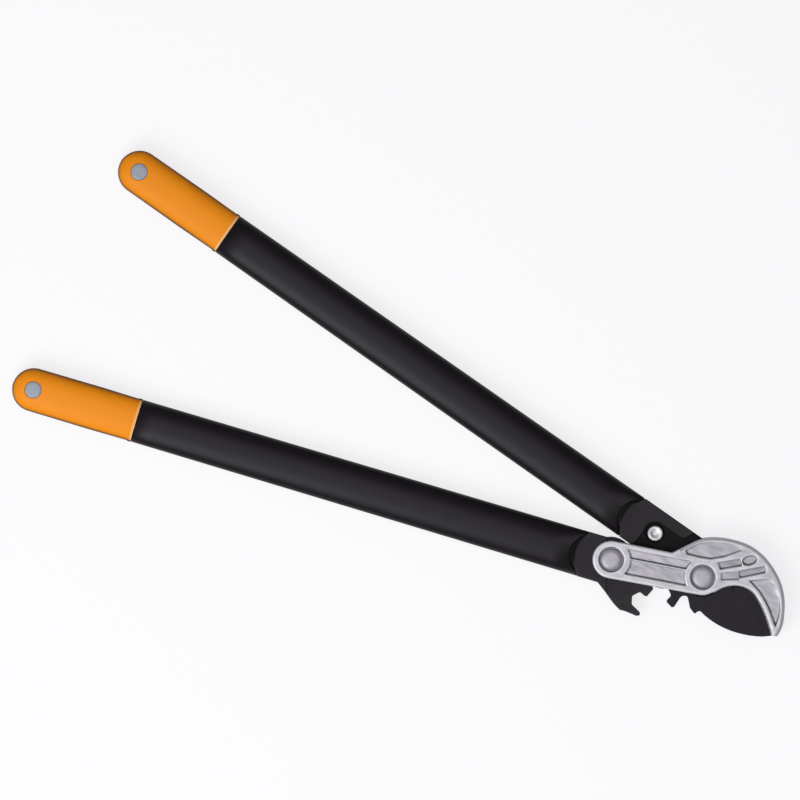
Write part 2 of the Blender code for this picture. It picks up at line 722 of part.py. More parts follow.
def lathe(bench, name, profile, centre, frame, finish, closed=False, steps=24):
    """A turned piece: the profile of (radius, height) runs down its outer side."""
    mesh = bpy.data.meshes.new(name)
    count = len(profile)
    edges = [(i, i + 1) for i in range(count - 1)]
    if closed:
        edges.append((count - 1, 0))
    mesh.from_pydata([(r * MM, 0.0, z * MM) for r, z in profile], edges, [])
    obj = bench.add(name, mesh, frame, finish)
    obj.location = (centre[0] * MM, centre[1] * MM, 0.0)
    screw = obj.modifiers.new("turn", "SCREW")
    screw.steps = steps
    screw.render_steps = steps
    screw.use_merge_vertices = True
    screw.merge_threshold = 0.00001
    settle(obj)
    return obj


def settle(obj):
    """Makes a piece's modifiers its mesh, with every face turned outwards."""
    seen = obj.evaluated_get(bpy.context.evaluated_depsgraph_get())
    mesh = bpy.data.meshes.new_from_object(seen)
    form = bmesh.new()
    form.from_mesh(mesh)
    bmesh.ops.recalc_face_normals(form, faces=form.faces)
    form.to_mesh(mesh)
    form.free()
    obj.modifiers.clear()
    obj.data = mesh
    mesh.set_sharp_from_angle(angle=math.radians(30))


def cut(obj, *tools, join=False):
    for tool in tools:
        step = obj.modifiers.new(tool.name, "BOOLEAN")
        step.operation = "UNION" if join else "DIFFERENCE"
        step.object = tool
        step.solver = "EXACT"


def round_edges(obj, width, segments=1, degrees=50):
    step = obj.modifiers.new("rounded edges", "BEVEL")
    step.width = width * MM
    step.segments = segments
    step.limit_method = "ANGLE"
    step.angle_limit = math.radians(degrees)


# Anvil head

def build_cheek(bench, name, side):
    """One half of the casting. side is 1 for the front, -1 for the rear."""
    def height(from_middle):
        return MID + side * from_middle

    def between(low, high):
        return sorted((height(low), height(high)))

    cheek = slab(bench, name, cheek_outline(), *between(CHEEK_INNER, HALF), "head", "casting")
    round_edges(cheek, EDGE_ROUND)
    land = slab(bench, name + "_land", land_outline(), *between(GAP / 2, HALF - CHEEK_WALL / 2), "head")
    cut(cheek, land, join=True)
    for pocket, outline in pockets().items():
        depths = sloping_depths(outline, *POCKET_DEPTHS[pocket])
        cut(cheek, drafted(bench, name + "_" + pocket, outline, depths, height(HALF), side))
    cut(cheek, hook_chamfer(bench, name, side))
    for pivot, place in (("link", LINK_PIVOT), ("main", (0, 0))):
        cut(cheek,
            rod(bench, name + "_" + pivot + "_bore", place, AXLE_RADIUS + GAP, *between(0, HALF + 1), "head"),
            rod(bench, name + "_" + pivot + "_seat", place, SEAT_RADIUS,
                *between(HALF - SEAT_DEPTH, HALF + 1), "head"))
    near, far = ANVIL_DEPTH - GAP, ANVIL_DEPTH + FLANGE_DEPTH + GAP
    low, high = side * (CHEEK_INNER - 1.0), side * (CHEEK_INNER + FLANGE_RISE + GAP)
    groove = [(near, low), (near, high), (far, high), (far, low)]
    cut(cheek, sweep(bench, name + "_groove", seat_path(ANVIL_START - GAP, ANVIL_END + GAP), groove, "head"))
    for screw, place in HOOK_SCREWS.items():
        if side > 0:
            cut(cheek, rod(bench, screw + "_blind_hole", place, HOOK_SCREW_RADIUS + GAP,
                           MID - 1, MID + HOOK_SCREW_REACH + GAP, "head", sides=16))
        else:
            cut(cheek,
                rod(bench, screw + "_hole", place, HOOK_SCREW_RADIUS + GAP, -1, MID + 1, "head", sides=16),
                rod(bench, screw + "_seat", place, HOOK_SCREW_HEAD + GAP, -1, HOOK_SCREW_HEAD_HEIGHT + 0.8,
                    "head", sides=24))
    return cheek


def hook_chamfer(bench, name, side):
    """The cutter for the chamfer along the hook's outer edge."""
    width, depth = HOOK_CHAMFER
    edge = smooth(HOOK_OUTER)
    tip, before = edge[-1], edge[-2]
    edge.append((2 * tip[0] - before[0], 2 * tip[1] - before[1]))
    slope = depth / width
    section = [(1.0, HALF - depth - slope), (1.0, HALF + slope), (-width - 1.0, HALF + slope)]
    return sweep(bench, name + "_chamfer", edge, [(a, side * b) for a, b in section], "head")


def build_anvil(bench):
    inside = CHEEK_INNER - GAP
    wide = CHEEK_INNER + FLANGE_RISE
    back = ANVIL_DEPTH + FLANGE_DEPTH
    section = [(0, -inside), (0, inside), (ANVIL_DEPTH, inside), (ANVIL_DEPTH, wide), (back, wide),
               (back, -wide), (ANVIL_DEPTH, -wide), (ANVIL_DEPTH, -inside)]
    return sweep(bench, "anvil", seat_path(ANVIL_START, ANVIL_END), section, "head", "anvil")


def build_hook_screws(bench):
    for name, place in HOOK_SCREWS.items():
        head, shank, low = HOOK_SCREW_HEAD, HOOK_SCREW_RADIUS, 0.5
        shelf = HOOK_SCREW_HEAD_HEIGHT + low
        point = MID + HOOK_SCREW_REACH
        profile = [(0, point), (shank - 0.5, point), (shank, point - 0.5), (shank, shelf), (head, shelf),
                   (head, low + 0.6), (head - 0.6, low), (0, low)]
        screw = lathe(bench, name, profile, place, "head", "steel", steps=16)
        socket = rod(bench, name + "_socket", place, HOOK_SCREW_SOCKET, low - 1, low + 1.4, "head", sides=6)
        cut(screw, socket)


def build_axle(bench, name, place):
    """A capped axle from the front, and the capped screw that closes it from behind."""
    top = 2 * HALF
    under = top - CAP_THICKNESS
    foot = SEAT_DEPTH + GAP
    profile = [(0, top), (CAP_RADIUS * 0.6, top - 0.1), (CAP_RADIUS * 0.85, top - 0.6),
               (CAP_RADIUS, top - 1.4), (CAP_RADIUS, under), (AXLE_RADIUS, under), (AXLE_RADIUS, foot),
               (POST_RADIUS + GAP, foot), (POST_RADIUS + GAP, foot + POST_LENGTH), (0, foot + POST_LENGTH)]
    lathe(bench, name, profile, place, "head", "cap")
    post = [(0, POST_LENGTH), (POST_RADIUS - 0.5, POST_LENGTH), (POST_RADIUS, POST_LENGTH - 0.5),
            (POST_RADIUS, CAP_THICKNESS), (CAP_RADIUS, CAP_THICKNESS), (CAP_RADIUS, 0.6),
            (CAP_RADIUS - 0.6, 0.0), (0, 0.0)]
    screw = lathe(bench, name + "_screw", post, place, "head", "cap")
    for number, reach in enumerate((-SPANNER_SPREAD, SPANNER_SPREAD)):
        spot = (place[0] + reach, place[1])
        cut(screw, rod(bench, f"{name}_spanner_hole_{number}", spot, SPANNER_HOLE, -1, 1.6, "head", sides=12))


def ring_profile(inner, outer, low, high):
    return [(outer, high), (outer, low), (inner, low), (inner, high)]


def build_washers(bench, pivot, place):
    inner = AXLE_RADIUS + GAP
    for where, side in (("front", 1), ("rear", -1)):
        near = TONGUE / 2 + GAP
        low, high = sorted((MID + side * near, MID + side * (near + WASHER)))
        lathe(bench, f"{pivot}_washer_{where}", ring_profile(inner, inner + WASHER_WIDTH, low, high), place,
              "head", "steel", closed=True, steps=20)


def build_anvil_head(bench):
    build_cheek(bench, "front_cheek", 1)
    build_cheek(bench, "rear_cheek", -1)
    build_anvil(bench)
    build_hook_screws(bench)
    for pivot, place in (("main", (0, 0)), ("link", LINK_PIVOT)):
        build_axle(bench, pivot + "_axle", place)
        build_washers(bench, pivot, place)


# Levers

def shoulder_cutter(bench, name, centre, radius, frame):
    """What rounds off a tube's end: upright along the head's pad, and sloping back from there."""
    low, high = MID - PAD / 2, MID + PAD / 2
    rise = (TUBE_HEIGHT - PAD) / 2
    reach = rise + 3.0
    wide = radius + SHOULDER_SLOPE * reach / rise
    profile = [(0, high + reach), (wide, high + reach), (radius, high),
               (radius, low), (wide, low - reach), (0, low - reach)]
    return lathe(bench, name, profile, centre, frame, None, steps=48)


def bush(bench, name, frame):
    profile = ring_profile(AXLE_RADIUS + GAP, BUSH_RADIUS, MID - TONGUE / 2, MID + TONGUE / 2)
    lathe(bench, name, profile, (0, 0), frame, "bush", closed=True, steps=20)


def add_plug(bench, head, centre, offset_y, length, frame):
    """The oval shank of a head, which fills the end of its tube."""
    lead_in = 1.5
    inset = TUBE_WALL + GAP
    stations = []
    for back, less in ((SHOULDER_RADIUS + PLUG_LENGTH, inset + lead_in),
                       (SHOULDER_RADIUS + PLUG_LENGTH - lead_in, inset), (0.0, inset)):
        half_width, half_height = tube_halves(back, length)
        stations.append((centre[0] - back, half_width - less, half_height - less, TUBE_POWER))
    plug = loft(bench, head.name + "_plug", stations, frame, offset_y)
    inside_pad = SHOULDER_RADIUS - 2 * GAP
    cut(plug, shoulder_cutter(bench, head.name + "_shoulder", centre, inside_pad, frame))
    cut(head, plug, join=True)


def add_pad(bench, head, outline, frame):
    """The raised faces of a head, front and rear."""
    pad = slab(bench, head.name + "_pad", outline, MID - PAD / 2, MID + PAD / 2, frame)
    round_edges(pad, HEAD_EDGE / 2)
    cut(head, pad, join=True)


def build_upper_head(bench):
    low, high = MID - TONGUE / 2, MID + TONGUE / 2
    hole = BOLT_RADIUS + GAP
    seat = BOLT_HEAD_RADIUS + BOLT_GROOVE
    head = slab(bench, "upper_head", upper_tongue_outline(), low, high, "upper", "head")
    round_edges(head, HEAD_EDGE)
    add_pad(bench, head, upper_pad_outline(), "upper")
    add_plug(bench, head, BOLT_PLACE, UPPER_OFFSET, UPPER_TUBE_LENGTH, "upper")
    cut(head,
        slab(bench, "blade_slot", blade_slot_outline(), MID - BLADE_SLOT, MID + BLADE_SLOT, "upper"),
        rod(bench, "upper_head_bore", (0, 0), BUSH_RADIUS + GAP, low - 1, high + 1, "upper"),
        rod(bench, "blade_bolt_hole", BOLT_PLACE, hole, low - 1, high + 1, "upper", sides=20),
        rod(bench, "blade_bolt_seat", BOLT_PLACE, seat, high - BOLT_SEAT, high + 2, "upper"),
        rod(bench, "blade_nut_seat", BOLT_PLACE, seat, low - 2, low + BOLT_SEAT, "upper"))
    return head


def build_blade(bench):
    blade = slab(bench, "blade", blade_outline(), MID - BLADE / 2, MID + BLADE / 2, "upper", "blade")
    cut(blade, rod(bench, "blade_bore", (0, 0), BUSH_RADIUS + GAP, 0, 2 * MID, "upper"))
    cut(blade, rod(bench, "tang_hole", BOLT_PLACE, BOLT_RADIUS + GAP, 0, 2 * MID, "upper", sides=20))
    edge = seat_path(ANVIL_START, HOOK_OUTER[-1][0])
    tip, before = edge[-1], edge[-2]
    edge.append((2 * tip[0] - before[0], 2 * tip[1] - before[1]))
    edge = turned(offset(edge, -GAP), -UPPER_ANGLE)
    for side in (1, -1):
        wedge = [(1.0, side * (EDGE_LAND / 2 - 0.22)), (0.0, side * EDGE_LAND / 2),
                 (-BLADE_BEVEL, side * BLADE / 2), (-BLADE_BEVEL, side * (BLADE / 2 + 1)),
                 (1.0, side * (BLADE / 2 + 1))]
        cut(blade, sweep(bench, f"blade_bevel_{side}", edge, wedge, "upper"))
    return blade


def build_blade_bolt(bench):
    seat = MID + TONGUE / 2 - BOLT_SEAT + GAP
    top = seat + BOLT_HEAD
    low = MID - TONGUE / 2 + BOLT_SEAT - GAP
    foot = low - NUT_HEIGHT - 0.6
    head = BOLT_HEAD_RADIUS
    profile = [(0, top), (head - 0.8, top), (head, top - 0.8), (head, seat), (BOLT_RADIUS, seat),
               (BOLT_RADIUS, foot + 0.6), (BOLT_RADIUS - 0.6, foot), (0, foot)]
    bolt = lathe(bench, "blade_bolt", profile, BOLT_PLACE, "upper", "steel")
    narrow = BOLT_SOCKET
    rim, depth = BOLT_DISH
    wide = rim + (rim - narrow) / depth
    cut(bolt,
        rod(bench, "blade_bolt_dish", BOLT_PLACE, narrow, top - depth, top + 1, "upper", top_radius=wide),
        rod(bench, "blade_bolt_socket", BOLT_PLACE, narrow, top - 2.4, top + 1, "upper", sides=6))
    under = low - NUT_HEIGHT
    nut = rod(bench, "blade_bolt_nut", BOLT_PLACE, NUT_RADIUS, under, low, "upper", "steel", sides=6)
    cut(nut, rod(bench, "nut_bore", BOLT_PLACE, BOLT_RADIUS + GAP, 0, MID, "upper", sides=20))


def build_lower_head(bench):
    low, high = MID - TONGUE / 2, MID + TONGUE / 2
    head = slab(bench, "lower_head", lower_tongue_outline(), low, high, "lower", "head")
    add_pad(bench, head, lower_pad_outline(), "lower")
    add_plug(bench, head, (0.0, LOWER_OFFSET), LOWER_OFFSET, LOWER_TUBE_LENGTH, "lower")
    cut(head, rod(bench, "lower_head_bore", (0, 0), BUSH_RADIUS + GAP, low - 1, high + 1, "lower"))
    return head


def build_handle(bench, lever, start, length, offset_y):
    """Tube, grip and rivet of one lever. start is the middle of the head's shoulder."""
    power = TUBE_POWER
    joint = start[0] - SHOULDER_RADIUS - length
    end = joint - GRIP_LENGTH
    rivet_at = end + GRIP_WIDTH / 2
    neck_end = rivet_at - RIVET_RADIUS - 3
    wide, tall = HANDLE_WIDTH_AT_GRIP / 2, TUBE_HEIGHT_AT_GRIP / 2
    neck_wide, neck_tall = wide - GRIP_WALL - 2.0, tall - GRIP_WALL
    taper = 3.0

    front = start[0] - tube_front()
    outer = [(front, HANDLE_WIDTH / 2, TUBE_HEIGHT / 2, power), (joint, wide, tall, power),
             (joint, neck_wide, neck_tall, power), (neck_end, neck_wide - taper, neck_tall, power)]
    bore = [(x + dx, w - TUBE_WALL, h - TUBE_WALL, p)
            for (x, w, h, p), dx in zip(outer, (5, TUBE_WALL, TUBE_WALL, -5))]
    tube = loft(bench, lever + "_tube", outer, lever, offset_y, "tube")
    cut(tube, loft(bench, lever + "_tube_bore", bore, lever, offset_y))

    half = GRIP_WIDTH / 2
    mouth = joint - GAP
    lip = mouth - LIP_LENGTH
    stations = [(mouth, wide + LIP_RISE, tall + LIP_RISE, power),
                (lip, wide + LIP_RISE + 0.1, tall + 0.8, power),
                (lip - 0.6, half - 0.3, tall + 0.7, GRIP_POWER),
                (mouth - 40, half, HALF, GRIP_POWER),
                (rivet_at, half, HALF, GRIP_POWER)]
    for degrees in (20, 38, 54, 68, 80, 87):
        s, c = math.sin(math.radians(degrees)), math.cos(math.radians(degrees))
        stations.append((rivet_at - half * s, half * c, HALF * (0.35 + 0.65 * c), GRIP_POWER))
    grip = loft(bench, lever + "_grip", stations, lever, offset_y, "grip")
    cavity = [(joint + 5, neck_wide + GAP, neck_tall + GAP, power),
              (joint, neck_wide + GAP, neck_tall + GAP, power),
              (neck_end - GAP, neck_wide - taper + GAP, neck_tall + GAP, power)]
    cut(grip, loft(bench, lever + "_grip_cavity", cavity, lever, offset_y))

    place = (rivet_at, offset_y)
    low, high = 0.4, 2 * HALF - 0.4
    for piece in (tube, grip):
        name = piece.name + "_rivet_hole"
        cut(piece, rod(bench, name, place, RIVET_SHANK + GAP, -2, 2 * HALF + 2, lever, sides=20))
    cut(tube, shoulder_cutter(bench, lever + "_tube_shoulder", start, SHOULDER_RADIUS, lever))
    seat = RIVET_RADIUS + GAP
    cut(grip,
        rod(bench, lever + "_rivet_seat_front", place, seat, high - RIVET_HEAD - GAP, high + 3, lever),
        rod(bench, lever + "_rivet_seat_rear", place, seat, -3, low + RIVET_HEAD + GAP, lever))
    under, over = high - RIVET_HEAD, low + RIVET_HEAD
    profile = [(0, high), (RIVET_RADIUS - 0.5, high), (RIVET_RADIUS, high - 0.5), (RIVET_RADIUS, under),
               (RIVET_SHANK, under), (RIVET_SHANK, over), (RIVET_RADIUS, over),
               (RIVET_RADIUS, low + 0.5), (RIVET_RADIUS - 0.5, low), (0, low)]
    lathe(bench, lever + "_grip_rivet", profile, place, lever, "rivet", steps=20)


def build_levers(bench):
    build_upper_head(bench)
    build_blade(bench)
    build_blade_bolt(bench)
    bush(bench, "main_bush", "upper")
    build_handle(bench, "upper", BOLT_PLACE, UPPER_TUBE_LENGTH, UPPER_OFFSET)
    build_lower_head(bench)
    bush(bench, "link_bush", "lower")
    build_handle(bench, "lower", (0.0, LOWER_OFFSET), LOWER_TUBE_LENGTH, LOWER_OFFSET)


def main():
    clear_scene()
    bench = Bench()
    build_anvil_head(bench)
    build_levers(bench)


if __name__ == "__main__":
    main()
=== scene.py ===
"""Looks of the geared anvil lopper: its pieces, materials and stage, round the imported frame."""
import json
import math

import bmesh
import bpy
import numpy
from mathutils import Matrix, Vector


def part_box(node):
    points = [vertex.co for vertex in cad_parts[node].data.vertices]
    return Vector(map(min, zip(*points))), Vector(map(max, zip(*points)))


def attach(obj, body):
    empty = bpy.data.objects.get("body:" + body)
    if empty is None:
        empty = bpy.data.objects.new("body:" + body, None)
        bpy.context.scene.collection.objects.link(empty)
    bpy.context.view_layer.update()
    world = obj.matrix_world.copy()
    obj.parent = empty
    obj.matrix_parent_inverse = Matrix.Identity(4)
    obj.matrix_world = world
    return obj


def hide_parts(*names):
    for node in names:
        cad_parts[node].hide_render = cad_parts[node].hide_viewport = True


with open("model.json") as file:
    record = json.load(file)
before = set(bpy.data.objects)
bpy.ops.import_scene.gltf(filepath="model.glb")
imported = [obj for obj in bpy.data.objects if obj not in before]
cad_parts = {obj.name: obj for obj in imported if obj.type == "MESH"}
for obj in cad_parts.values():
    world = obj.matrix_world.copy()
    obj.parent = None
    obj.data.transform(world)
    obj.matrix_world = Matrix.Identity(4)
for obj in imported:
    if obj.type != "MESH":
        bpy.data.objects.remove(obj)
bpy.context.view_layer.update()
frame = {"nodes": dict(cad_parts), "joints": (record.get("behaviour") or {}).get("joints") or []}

bl_info = {
    "name": "Geared Anvil Lopper",
    "version": (1, 0, 0),
    "blender": (4, 5, 0),
    "location": "View3D > Sidebar > Lopper",
    "description": "Builds the lopper's visible pieces round the packed frame",
    "category": "Mesh",
}

PIVOTS = {joint["child"]: Vector(joint["pos_m"]) for joint in frame["joints"]}
MID = PIVOTS["upper_lever"].z
LEVERS = ("upper", "lower")
STAGE_CENTRE = Vector((-0.3, 0.0, 0.0))
VIEW_CENTRE = (-0.3052, 0.0245)


# Sizes and colours

def hex_colour(text):
    """A Blender colour from an sRGB hex value."""
    levels = [int(text[i:i + 2], 16) / 255 for i in (1, 3, 5)]
    return tuple(c / 12.92 if c <= 0.04045 else ((c + 0.055) / 1.055) ** 2.4 for c in levels)


def number(name, description, default, **settings):
    return bpy.props.FloatProperty(name=name, description=description, default=default, **settings)


def length(name, description, default):
    return number(name, description, default, min=0.0, precision=4, unit="LENGTH", subtype="DISTANCE")


def colour(name, description, text):
    return bpy.props.FloatVectorProperty(name=name, description=description, subtype="COLOR", size=3,
                                         min=0.0, max=1.0, default=hex_colour(text))


class LopperHandles(bpy.types.PropertyGroup):
    """Sizes of the two oval handles and their grips."""

    upper_angle: number("Upper Angle", "Turn of the upper handle from the tool's axis",
                        math.radians(-9.25), subtype="ANGLE")
    lower_angle: number("Lower Angle", "Turn of the lower handle from the tool's axis",
                        math.radians(9.13), subtype="ANGLE")
    upper_shoulder: length("Upper Shoulder", "How far the shoulder's middle lies behind its pivot", 0.0557)
    upper_offset: number("Upper Offset", "How far the upper tube's axis passes its pivot", 0.0076,
                         precision=4, unit="LENGTH")
    lower_offset: number("Lower Offset", "How far the lower tube's axis passes its pivot", -0.0024,
                         precision=4, unit="LENGTH")
    upper_length: length("Upper Tube Length", "From the upper shoulder to the grip", 0.424)
    lower_length: length("Lower Tube Length", "From the lower shoulder to the grip", 0.3998)
    width: length("Tube Width", "Width of the oval tube at the shoulder", 0.0402)
    width_at_grip: length("Tube Width at Grip", "Width of the oval tube where the grip starts", 0.0382)
    height: length("Tube Height", "Height of the oval tube at the shoulder", 0.022)
    height_at_grip: length("Tube Height at Grip", "Height of the oval tube where the grip starts", 0.0214)
    wall: length("Tube Wall", "Wall thickness of the tube", 0.002)
    power: number("Tube Roundness", "2 is a true ellipse, and more is squarer", 2.2, min=2.0)
    shoulder_radius: length("Shoulder Radius", "Radius of the tube's hollow end", 0.032)
    shoulder_slope: length("Shoulder Slope", "How far the hollow end slopes back over its height", 0.005)
    shoulder_height: length("Shoulder Height", "Height up to which the hollow end is upright", 0.0142)
    grip_length: length("Grip Length", "Length of an end grip", 0.1135)
    grip_width: length("Grip Width", "Width of an end grip", 0.0386)
    grip_height: length("Grip Height", "Height of an end grip", 0.026)
    grip_power: number("Grip Roundness", "2 is a true ellipse, and more is squarer", 2.5, min=2.0)
    grip_wall: length("Grip Wall", "Wall thickness of the grip", 0.003)
    rivet_radius: length("Rivet Radius", "Radius of the rivet's head in the grip", 0.0073)


class LopperEdges(bpy.types.PropertyGroup):
    """How softly the cast, moulded and pressed edges are rounded."""

    casting_grain: length("Casting Detail", "Size of the finest detail kept in the casting", 0.00045)
    casting_rounds: bpy.props.IntProperty(
        name="Casting Tumbling", description="How often the casting's edges are rubbed round",
        default=8, min=0)
    head_grain: length("Head Detail", "Size of the finest detail kept in the moulded heads", 0.0005)
    head_rounds: bpy.props.IntProperty(
        name="Head Rounding", description="How often the moulded heads' edges are rubbed round",
        default=3, min=0)
    blade_edge: length("Blade Edge", "Radius of the blade's pressed edges", 0.00035)
    tube_rim: length("Tube Rims", "Radius of the tubes' softened rims", 0.0004)
    small_edge: length("Small Edges", "Radius of the edges of screws, washers and the anvil", 0.00025)


class LopperFinishes(bpy.types.PropertyGroup):
    """Colours of the materials."""

    casting: colour("Casting", "Tumbled die-cast aluminium", "#A5A2A9")
    # The hollows' colour, partly the matt skin and partly painted shade; three times as light, it is also the
    # painted shade round each cap.
    casting_hollow: colour("Casting Hollows", "The casting where tumbling doesn't reach", "#4E4C52")
    casting_edge: colour("Casting Edges", "The casting where tumbling rubs it bright", "#CCCAD0")
    anvil: colour("Anvil", "Extruded aluminium", "#A3A1A7")
    cap: colour("Axle Caps", "Turned and plated steel", "#ADA9B1")
    plated: colour("Fasteners", "Plated steel", "#CFCDD1")
    blade: colour("Blade", "Non-stick coating on steel", "#221E25")
    head: colour("Heads", "Glass-filled nylon", "#29262A")
    tube: colour("Tubes", "Black powder coat", "#151016")
    grip: colour("Grips", "Moulded orange", "#EC8C06")
    # A painted highlight on the lip at each grip's mouth.
    grip_lip_highlight: colour("Grip Lips", "The grips' pale lips", "#FFE3B8")
    rivet: colour("Grip Rivets", "Moulded blue-grey", "#9098A5")
    bush: colour("Bushes", "Sintered bronze", "#97754A")


class LopperStage(bpy.types.PropertyGroup):
    """Light, floor and camera."""

    floor: colour("Floor", "Plain pale floor", "#FCFBFD")
    floor_return: colour("Floor's Return", "What the floor throws back on the tool", "#959595")
    world: colour("World", "Light from all round", "#FDFDFF")
    world_level: number("World Level", "Level of the light from all round", 0.2, min=0.0)
    side_power: number("Side Lamp Power", "Power of the soft lamp at the lower left", 34.0,
                       min=0.0, subtype="POWER")
    top_power: number("Top Lamp Power", "Power of the wide lamp overhead", 26.0,
                      min=0.0, subtype="POWER")
    lens: number("Lens", "Focal length in millimetres", 250.0, min=10.0)
    field: length("Field", "Width of the picture on the tool's middle plane", 0.7)
    turn: number("Camera Turn", "Turn of the picture on the tool's middle plane", math.radians(25.75),
                 subtype="ANGLE")


# Meshes

# Edges that a bevel rounds: those that turn by more than this.
SHARP_EDGES = {"limit_method": "ANGLE", "angle_limit": math.radians(40)}


def add_node(tree, kind, inputs=None, **settings):
    """Adds a node. Inputs are values or the outputs of other nodes, by socket name or number."""
    made = tree.nodes.new(kind)
    for key, value in settings.items():
        setattr(made, key, value)
    for key, value in (inputs or {}).items():
        if isinstance(value, bpy.types.NodeSocket):
            tree.links.new(value, made.inputs[key])
        else:
            made.inputs[key].default_value = value
    return made


def add_object(name, data):
    made = bpy.data.objects.new(name, data)
    bpy.context.scene.collection.objects.link(made)
    return made


def add_form(name, form):
    """An object with a bmesh form, which is freed."""
    mesh = bpy.data.meshes.new(name)
    form.to_mesh(mesh)
    form.free()
    return add_object(name, mesh)


def add_step(piece, kind, **settings):
    """Adds a modifier with its settings."""
    step = piece.modifiers.new(kind, kind)
    for key, value in settings.items():
        setattr(step, key, value)


def settle(piece):
    """Makes a piece's modifiers its mesh."""
    graph = bpy.context.evaluated_depsgraph_get()
    mesh = bpy.data.meshes.new_from_object(piece.evaluated_get(graph))
    piece.modifiers.clear()
    piece.data = mesh
    return mesh


def cut_out(piece, cutters):
    """Cuts some forms out of a piece, and removes the forms."""
    for cutter in cutters:
        add_step(piece, "BOOLEAN", object=cutter, solver="EXACT")
    mesh = settle(piece)
    for cutter in cutters:
        bpy.data.objects.remove(cutter, do_unlink=True)
    return mesh


def shade_smooth(mesh, sharp):
    """Smooth shading. Edges of more than sharp degrees stay crisp."""
    mesh.shade_smooth()
    mesh.set_sharp_from_angle(angle=math.radians(sharp))


def store(mesh, name, numbers, domain="POINT"):
    """Stores a number at each point or face of a mesh, which its material reads by name."""
    mesh.attributes.new(name, "FLOAT", domain).data.foreach_set("value", numbers)


def share_of(number):
    """A number, held between 0 and 1."""
    return min(1.0, max(0.0, number))


def dress(piece, material, body, slot, *nodes):
    """Gives a piece its material, its body and the CAD nodes that it stands for."""
    piece.data.materials.clear()
    piece.data.materials.append(material)
    piece.data.polygons.foreach_set("material_index", [0] * len(piece.data.polygons))
    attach(piece, body)
    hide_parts(*nodes)


def joined_nodes(name, nodes, angle):
    """One merged copy of some CAD nodes, with flat regions as single faces."""
    form = bmesh.new()
    for node in nodes:
        form.from_mesh(frame["nodes"][node].data)
    bmesh.ops.remove_doubles(form, verts=form.verts, dist=0.000002)
    bmesh.ops.dissolve_limit(form, angle_limit=math.radians(angle), verts=form.verts, edges=form.edges)
    return add_form(name, form)


def rounded_copy(name, nodes, radius, sharp=20):
    """A merged copy of CAD nodes with its sharp edges rounded by a bevel."""
    piece = joined_nodes(name, nodes, 0.5)
    add_step(piece, "BEVEL", width=radius, segments=2, **SHARP_EDGES)
    shade_smooth(settle(piece), sharp)
    return piece


def rubbed_copy(name, nodes, grain, rounds, keep, painted_lower_shade=False):
    """A merged copy of CAD nodes, meshed finely and rubbed round at its edges and in its hollows."""
    piece = joined_nodes(name, nodes, 0.01)
    add_step(piece, "REMESH", mode="VOXEL", voxel_size=grain)
    add_step(piece, "SMOOTH", factor=0.6, iterations=rounds)
    # The flag puts more painted shade along the lower edges of the hollows.
    store_relief(settle(piece), painted_lower_shade)
    add_step(piece, "DECIMATE", ratio=keep)
    settle(piece).shade_smooth()
    return piece


def point_vectors(mesh, key):
    """The places or the normals of a mesh's points, a row for each."""
    numbers = numpy.empty(len(mesh.vertices) * 3, numpy.float32)
    mesh.vertices.foreach_get(key, numbers)
    return numbers.reshape(-1, 3)


def store_relief(mesh, painted_lower_shade, narrow_rounds=14, wide_rounds=30):
    """Stores how far each point stands out of its surroundings, in millimetres, hollows below zero.
    Edges are measured against wide surroundings and hollows against narrow ones."""
    count = len(mesh.vertices)
    points = point_vectors(mesh, "co").astype(numpy.float64) * 1000
    facing = point_vectors(mesh, "normal")
    edges = numpy.empty(len(mesh.edges) * 2, numpy.int32)
    mesh.edges.foreach_get("vertices", edges)
    first, second = edges.reshape(-1, 2).T
    here, there = numpy.concatenate((first, second)), numpy.concatenate((second, first))
    joined = numpy.maximum(numpy.bincount(here, minlength=count), 1)
    flat = points.copy()
    for spread in range(1, wide_rounds + 1):
        flat = numpy.stack([numpy.bincount(here, flat[there, i], count) / joined for i in range(3)], axis=1)
        if spread == narrow_rounds:
            narrow = ((points - flat) * facing).sum(axis=1)
    wide = ((points - flat) * facing).sum(axis=1)
    if painted_lower_shade:
        # The photo's recesses are darkest along their lower edges, so more painted shade goes there.
        faces_up = facing[:, 1] * 0.9 - facing[:, 0] * 0.43
        narrow *= 0.4 + 0.9 * numpy.clip(4 * faces_up + 0.3, 0.0, 1.0)
    relief = numpy.maximum(wide, 0.0) + numpy.minimum(narrow, 0.0)
    store(mesh, "relief", relief.astype(numpy.float32))


def store_seats(mesh, radius, fade=0.0006):
    """Stores 1 where the casting lies inside the ring round an axle's cap, else 0."""
    seats = [pivot.to_2d() for pivot in PIVOTS.values()]
    near = [min((vertex.co.to_2d() - seat).length for seat in seats) for vertex in mesh.vertices]
    store(mesh, "seat", [share_of((radius - reach) / fade) for reach in near])


def store_recess(mesh, lever, fade=0.0003, low_fade=0.0005):
    """Stores 1 where shade is painted on a head, else 0: behind its shoulder, and in the low part of
    the upper one."""
    handles = bpy.context.scene.lopper_handles
    x, y, _ = shoulder(lever)
    to_lever = lever_place(lever).inverted()
    shares = []
    for vertex in mesh.vertices:
        place = to_lever @ vertex.co
        reach = Vector((place.x - x, place.y - y)).length if place.x < x else 0.0
        share = (reach - handles.shoulder_radius) / fade
        if lever == "upper":
            share = max(share, (handles.shoulder_height / 2 - abs(place.z)) / low_fade)
        shares.append(share_of(share))
    store(mesh, "recess", shares)


def skin(name, rings):
    """A closed skin through rings of points, each with as many, with both ends filled."""
    form = bmesh.new()
    rows = [[form.verts.new(point) for point in ring] for ring in rings]
    count = len(rings[0])
    walls = []
    for near, far in zip(rows, rows[1:]):
        for i in range(count):
            j = (i + 1) % count
            walls.append(form.faces.new((near[i], near[j], far[j], far[i])))
    # A wall of four corners is a little twisted, and a cut needs flat faces.
    bmesh.ops.triangulate(form, faces=walls)
    form.faces.new(rows[0])
    form.faces.new(rows[-1])
    bmesh.ops.recalc_face_normals(form, faces=form.faces)
    return add_form(name, form)


